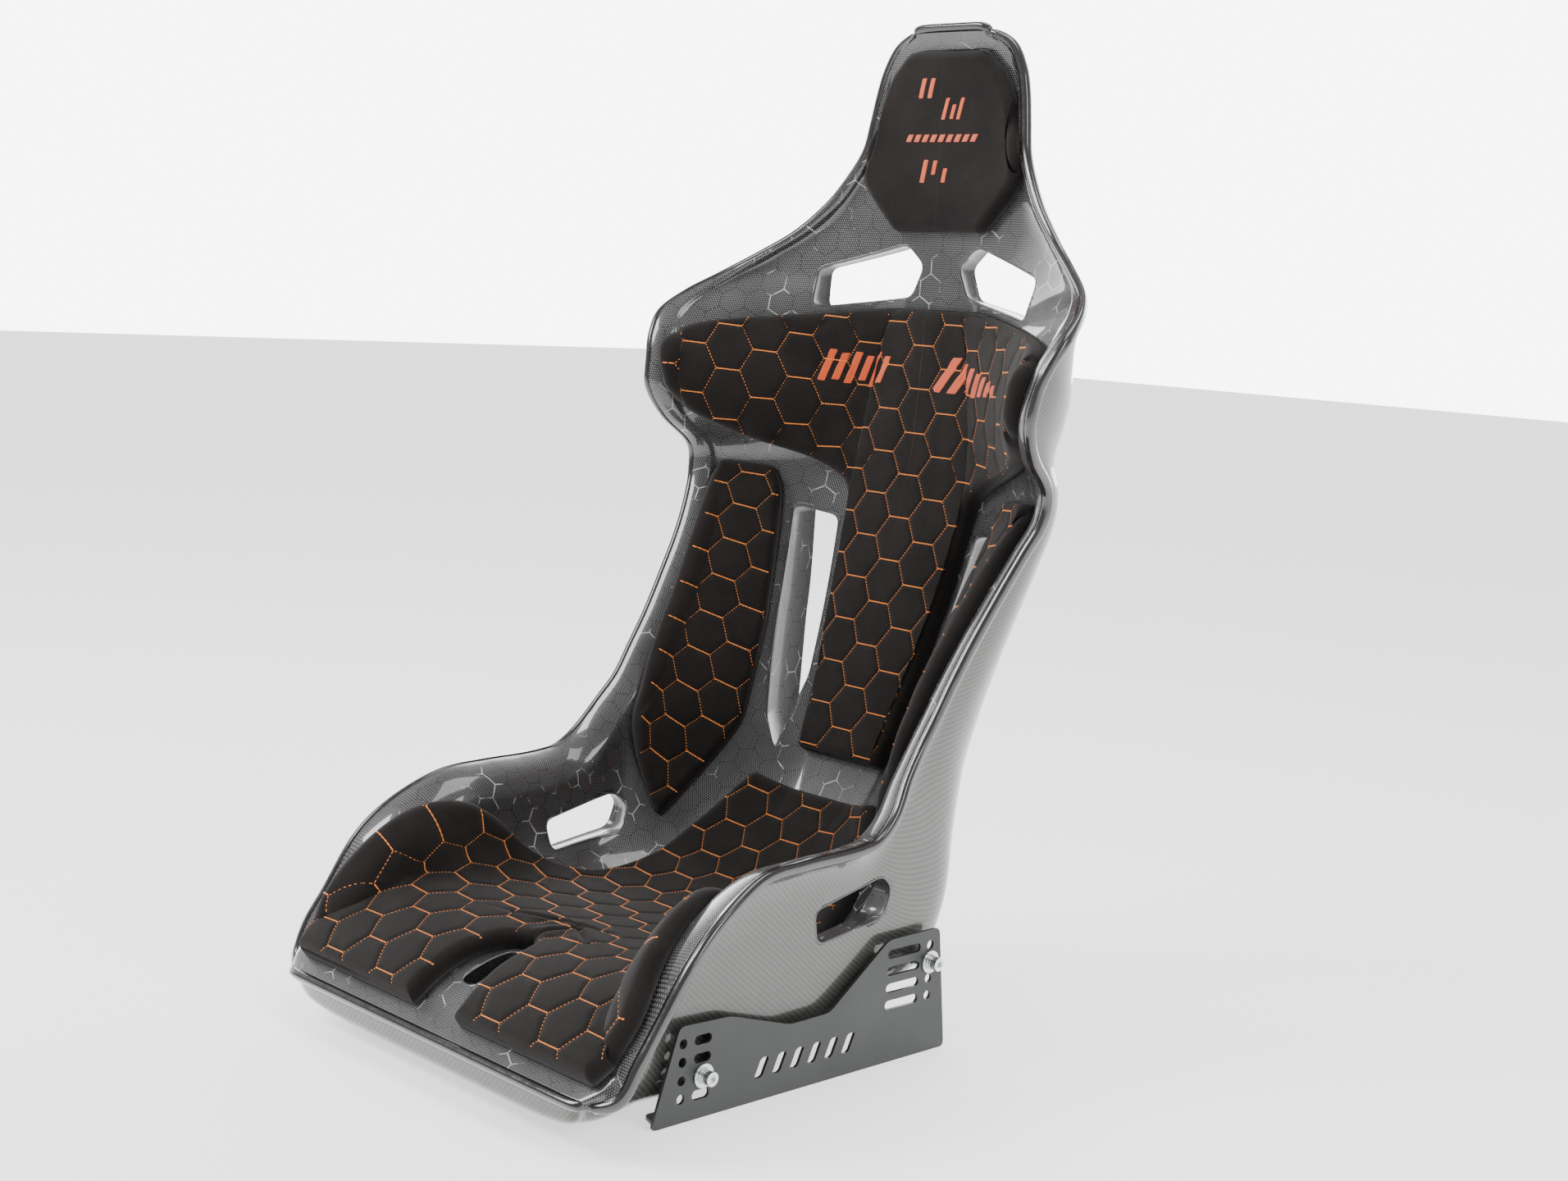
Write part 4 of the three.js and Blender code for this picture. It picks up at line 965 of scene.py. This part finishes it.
def honeycomb_carbon():
    material, nodes, links, shader = new_material("honeycomb_carbon_lacquer")
    n = Nodes(nodes, links)
    u, v = n.uv()
    place = n.position()
    drift = n.noise(place, 9.0)
    u = n.math("ADD", u, n.math("MULTIPLY", n.math("SUBTRACT", drift, 0.5), 0.006))
    dots = n.ramp(n.hexagons(u, v, WEAVE_PITCH), 0.30, 0.62)
    line = n.ramp(n.hexagons(u, v, CELL_PITCH), 0.025, 0.055, 1.0, 0.0)
    # Painted highlight: light grey on the cell lines in random patches, standing in for the cell walls
    # catching light.
    painted_cell_glint = n.math("MULTIPLY", line, n.ramp(n.noise(place, 24.0, 3.0), 0.54, 0.64))
    patch = n.ramp(n.noise(place, 14.0), 0.35, 0.65, 0.55, 1.0)
    weave = n.math("MULTIPLY", dots, patch)
    colour = n.mix(weave, (0.001, 0.001, 0.0011, 1), (0.17, 0.17, 0.175, 1))
    colour = n.mix(n.math("MULTIPLY", line, 0.9), colour, (0.002, 0.002, 0.002, 1))
    colour = n.mix(n.math("MULTIPLY", painted_cell_glint, 0.8), colour, (0.62, 0.62, 0.62, 1))
    links.new(colour, shader.inputs["Base Color"])
    links.new(n.ramp(n.noise(place, 60.0), 0.3, 0.7, 0.30, 0.42), shader.inputs["Roughness"])
    links.new(n.bump(n.math("ADD", dots, n.math("MULTIPLY", line, 0.5)), 0.00012), shader.inputs["Normal"])
    shader.inputs["Coat Weight"].default_value = 1.0
    shader.inputs["Coat Roughness"].default_value = 0.05
    shader.inputs["Specular IOR Level"].default_value = 0.5
    return material


def twill_carbon():
    material, nodes, links, shader = new_material("twill_carbon_lacquer")
    n = Nodes(nodes, links)
    u, v = n.uv()
    place = n.position()
    i = n.math("FLOOR", n.math("DIVIDE", u, TOW))
    j = n.math("FLOOR", n.math("DIVIDE", v, TOW))
    over = n.math("LESS_THAN", n.math("WRAP", n.math("ADD", i, j), 4.0, 0.0), 1.5)
    under = n.math("SUBTRACT", 1.0, over)
    ridge = n.math("ADD", n.math("MULTIPLY", n.ridge(u, TOW), over),
                   n.math("MULTIPLY", n.ridge(v, TOW), under))
    # The twill pattern is real. The lighter over-tows and the darker edges of each tow are painted sheen and
    # painted shade.
    tow_pattern_and_sheen = n.math("ADD", n.math("MULTIPLY", over, 0.6), 0.2)
    shade = n.math("MULTIPLY", tow_pattern_and_sheen, n.ramp(ridge, 0, 0.5, 0.5, 1))
    colour = n.mix(shade, (0.016, 0.016, 0.014, 1), (0.085, 0.085, 0.076, 1))
    colour = n.mix(n.ramp(n.noise(place, 5.0), 0.4, 0.7, 0.0, 0.25), colour, (0.05, 0.05, 0.047, 1))
    links.new(colour, shader.inputs["Base Color"])
    links.new(n.ramp(n.noise(place, 40.0), 0.3, 0.7, 0.32, 0.42), shader.inputs["Roughness"])
    links.new(n.bump(ridge, 0.00008), shader.inputs["Normal"])
    shader.inputs["Metallic"].default_value = 0.15
    shader.inputs["Coat Weight"].default_value = 1.0
    shader.inputs["Coat Roughness"].default_value = 0.06
    return material


def edge_resin():
    material, nodes, links, shader = new_material("edge_resin")
    n = Nodes(nodes, links)
    place = n.position()
    links.new(n.mix(n.noise(place, 30.0), (0.006, 0.005, 0.005, 1), (0.02, 0.018, 0.018, 1)),
              shader.inputs["Base Color"])
    links.new(n.ramp(n.noise(place, 90.0), 0.3, 0.7, 0.16, 0.3), shader.inputs["Roughness"])
    links.new(n.bump(n.noise(place, 140.0), 0.0002), shader.inputs["Normal"])
    shader.inputs["Coat Weight"].default_value = 0.8
    shader.inputs["Coat Roughness"].default_value = 0.08
    return material


def suede():
    material, nodes, links, shader = new_material("black_suede")
    n = Nodes(nodes, links)
    place = n.position()
    nap = n.noise(place, 1500.0, 4.0)
    brushed = n.noise(place, 26.0, 4.0)
    tone = n.math("ADD", n.math("MULTIPLY", nap, 0.5), n.math("MULTIPLY", brushed, 0.5))
    links.new(n.mix(n.ramp(tone, 0.3, 0.7), (0.0045, 0.004, 0.004, 1), (0.020, 0.0165, 0.015, 1)),
              shader.inputs["Base Color"])
    links.new(n.ramp(brushed, 0.3, 0.7, 0.86, 1.0), shader.inputs["Roughness"])
    links.new(n.bump(nap, 0.0005, 0.7), shader.inputs["Normal"])
    shader.inputs["Sheen Weight"].default_value = 0.12
    shader.inputs["Sheen Roughness"].default_value = 0.5
    shader.inputs["Specular IOR Level"].default_value = 0.1
    return material


def thread(name, dark, light):
    material, nodes, links, shader = new_material(name)
    n = Nodes(nodes, links)
    place = n.position()
    ply = n.noise(place, 900.0, 2.0)
    links.new(n.mix(ply, dark, light), shader.inputs["Base Color"])
    links.new(n.ramp(ply, 0.2, 0.8, 0.4, 0.6), shader.inputs["Roughness"])
    links.new(n.bump(ply, 0.0003), shader.inputs["Normal"])
    shader.inputs["Sheen Weight"].default_value = 0.2
    return material


def satin_stitch():
    material, nodes, links, shader = new_material("satin_stitch")
    n = Nodes(nodes, links)
    u, v = n.uv()
    rows = n.math("PINGPONG", n.math("ADD", u, n.math("MULTIPLY", v, 0.4)), SATIN_ROW)
    rows = n.math("DIVIDE", rows, SATIN_ROW)
    # Painted shade and painted highlight: each thread row is dark at its edges and light along its crown.
    links.new(n.mix(rows, (0.55, 0.04, 0.001, 1), (1.0, 0.13, 0.004, 1)), shader.inputs["Base Color"])
    links.new(n.ramp(rows, 0, 1, 0.5, 0.35), shader.inputs["Roughness"])
    links.new(n.bump(rows, 0.0003), shader.inputs["Normal"])
    shader.inputs["Sheen Weight"].default_value = 0.3
    return material


def coated_metal():
    material, nodes, links, shader = new_material("bracket_coating")
    n = Nodes(nodes, links)
    place = n.position()
    grain = n.noise(place, 700.0, 3.0)
    wear = n.noise(place, 12.0, 4.0)
    links.new(n.mix(wear, (0.035, 0.037, 0.037, 1), (0.062, 0.065, 0.063, 1)), shader.inputs["Base Color"])
    links.new(n.ramp(grain, 0.3, 0.7, 0.34, 0.48), shader.inputs["Roughness"])
    links.new(n.bump(grain, 0.00006), shader.inputs["Normal"])
    shader.inputs["Metallic"].default_value = 0.55
    return material


def zinc(name, tone):
    material, nodes, links, shader = new_material(name)
    n = Nodes(nodes, links)
    place = n.position()
    turned = n.noise(place, 400.0, 4.0)
    low = tuple(c * 0.75 for c in tone) + (1,)
    links.new(n.mix(turned, low, tone + (1,)), shader.inputs["Base Color"])
    links.new(n.ramp(turned, 0.3, 0.7, 0.18, 0.36), shader.inputs["Roughness"])
    links.new(n.bump(turned, 0.00004), shader.inputs["Normal"])
    shader.inputs["Metallic"].default_value = 1.0
    return material


def plain_floor():
    material, nodes, links, shader = new_material("pale_floor")
    n = Nodes(nodes, links)
    links.new(n.mix(n.noise(n.position(), 3.0), (0.93, 0.93, 0.93, 1), (0.95, 0.95, 0.95, 1)),
              shader.inputs["Base Color"])
    shader.inputs["Roughness"].default_value = 0.8
    shader.inputs["Specular IOR Level"].default_value = 0.1
    shader.inputs["Emission Color"].default_value = (1, 1, 1, 1)
    shader.inputs["Emission Strength"].default_value = 1.1
    return material


def dress(obj, material):
    obj.data.materials.clear()
    obj.data.materials.append(material)


HONEYCOMB = honeycomb_carbon()
TWILL = twill_carbon()
RESIN = edge_resin()
SUEDE = suede()
THREAD = thread("orange_thread", (0.60, 0.13, 0.008, 1), (1.0, 0.32, 0.03, 1))
SATIN = satin_stitch()
BRACKET = coated_metal()
ZINC = zinc("bright_zinc", (0.80, 0.81, 0.83))
INSERT = zinc("machined_steel", (0.5, 0.5, 0.51))

dress(inner_skin, HONEYCOMB)
dress(outer_skin, TWILL)
dress(bead, RESIN)
for wall in walls:
    dress(wall, HONEYCOMB)
for obj in pad_objects.values():
    dress(obj, SUEDE)
for obj in stitch_objects.values():
    dress(obj, THREAD)
for obj in (head_marks, back_marks):
    dress(obj, SATIN)

# ---- tie to the frame
for obj in (inner_skin, outer_skin, bead, *walls, *pad_objects.values(), *stitch_objects.values(),
            head_marks, back_marks):
    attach(obj, "root")

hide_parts("shell_inner_skin")
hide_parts("shell_outer_skin")
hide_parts("rim_edge_bead")
STRIPS = {
    "head_pad": ("head_strip_upper", "head_strip_lower"),
    "back_pad": ("back_strip_upper", "back_strip_lower"),
    "side_pad_right": ("side_strip_right",),
    "side_pad_left": ("side_strip_left",),
    "seat_cushion": ("cushion_strip_rear", "cushion_strip_front"),
}
for name, obj in pad_objects.items():
    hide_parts(name + "_cover", name + "_foam", *STRIPS[name])

for name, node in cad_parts.items():
    if name.startswith("side_bracket"):
        dress(node, BRACKET)
    elif name.startswith("insert"):
        dress(node, INSERT)
    elif name.split("_")[0] in ("bolt", "flat", "lock", "spacer"):
        dress(node, ZINC)

# ---- floor, light, camera
FLOOR_SIZE = 30
AMBIENT = 0.55        # world strength all round
BACKDROP = 7.0        # extra strength of the bright backdrop behind the seat
bpy.ops.mesh.primitive_plane_add(size=FLOOR_SIZE, location=(0, 0, 0))
floor = bpy.context.object
floor.name = "floor"
dress(floor, plain_floor())

world = bpy.data.worlds.new("studio")
bpy.context.scene.world = world
world.use_nodes = True
studio = Nodes(world.node_tree.nodes, world.node_tree.links)
direction = studio.nodes.new("ShaderNodeTexCoord").outputs["Generated"]
split = studio.nodes.new("ShaderNodeSeparateXYZ")
studio.put(split.inputs[0], direction)
background = studio.nodes["Background"]
background.inputs["Color"].default_value = (1, 1, 1, 1)
behind = studio.math("MULTIPLY", studio.math("SUBTRACT", split.outputs[1], split.outputs[0]), 0.7)
backdrop = studio.math(
    "MULTIPLY", studio.ramp(behind, 0.35, 0.75), studio.ramp(split.outputs[2], 0.30, 0.60, 1.0, 0.0),
)
strength = studio.math("ADD", studio.math("MULTIPLY", backdrop, BACKDROP), AMBIENT)
studio.put(background.inputs["Strength"], strength)


def area_light(name, location, target, size, power, size_y=None):
    data = bpy.data.lights.new(name, "AREA")
    data.shape = "RECTANGLE"
    data.size = size
    data.size_y = size_y or size
    data.energy = power
    obj = bpy.data.objects.new(name, data)
    obj.location = location
    direction = Vector(target) - Vector(location)
    obj.rotation_euler = direction.to_track_quat("-Z", "Y").to_euler()
    bpy.context.scene.collection.objects.link(obj)


area_light("key", (-1.6, -1.8, 2.6), (0, 0, 0.4), 1.2, 85)
area_light("side", (2.6, 0.4, 1.6), (0, 0, 0.5), 1.0, 45, 1.8)
area_light("top", (0.2, 0.4, 2.9), (0, 0, 0.3), 1.6, 40)

CAMERA_AT = (1543.68, -1237.59, 715.99)
AZIMUTH, ELEVATION, ROLL = (math.radians(a) for a in (45.16, 7.87, 3.37))
LENS = 51.0317
SENSOR = 36.0


def camera_axes():
    forward = np.array([
        -math.sin(AZIMUTH) * math.cos(ELEVATION),
        math.cos(AZIMUTH) * math.cos(ELEVATION),
        -math.sin(ELEVATION),
    ])
    right = np.array([math.cos(AZIMUTH), math.sin(AZIMUTH), 0.0])
    up = np.cross(right, forward)
    c, s = math.cos(ROLL), math.sin(ROLL)
    return c * right + s * up, -s * right + c * up, forward


camera_data = bpy.data.cameras.new("camera")
camera_data.sensor_width = SENSOR
camera_data.sensor_fit = "HORIZONTAL"
camera_data.lens = LENS
camera = bpy.data.objects.new("camera", camera_data)
bpy.context.scene.collection.objects.link(camera)
right_axis, up_axis, forward_axis = camera_axes()
rotation = Matrix([[right_axis[k], up_axis[k], -forward_axis[k]] for k in range(3)]).to_4x4()
camera.matrix_world = Matrix.Translation(Vector(to_row(CAMERA_AT))) @ rotation
bpy.context.scene.camera = camera
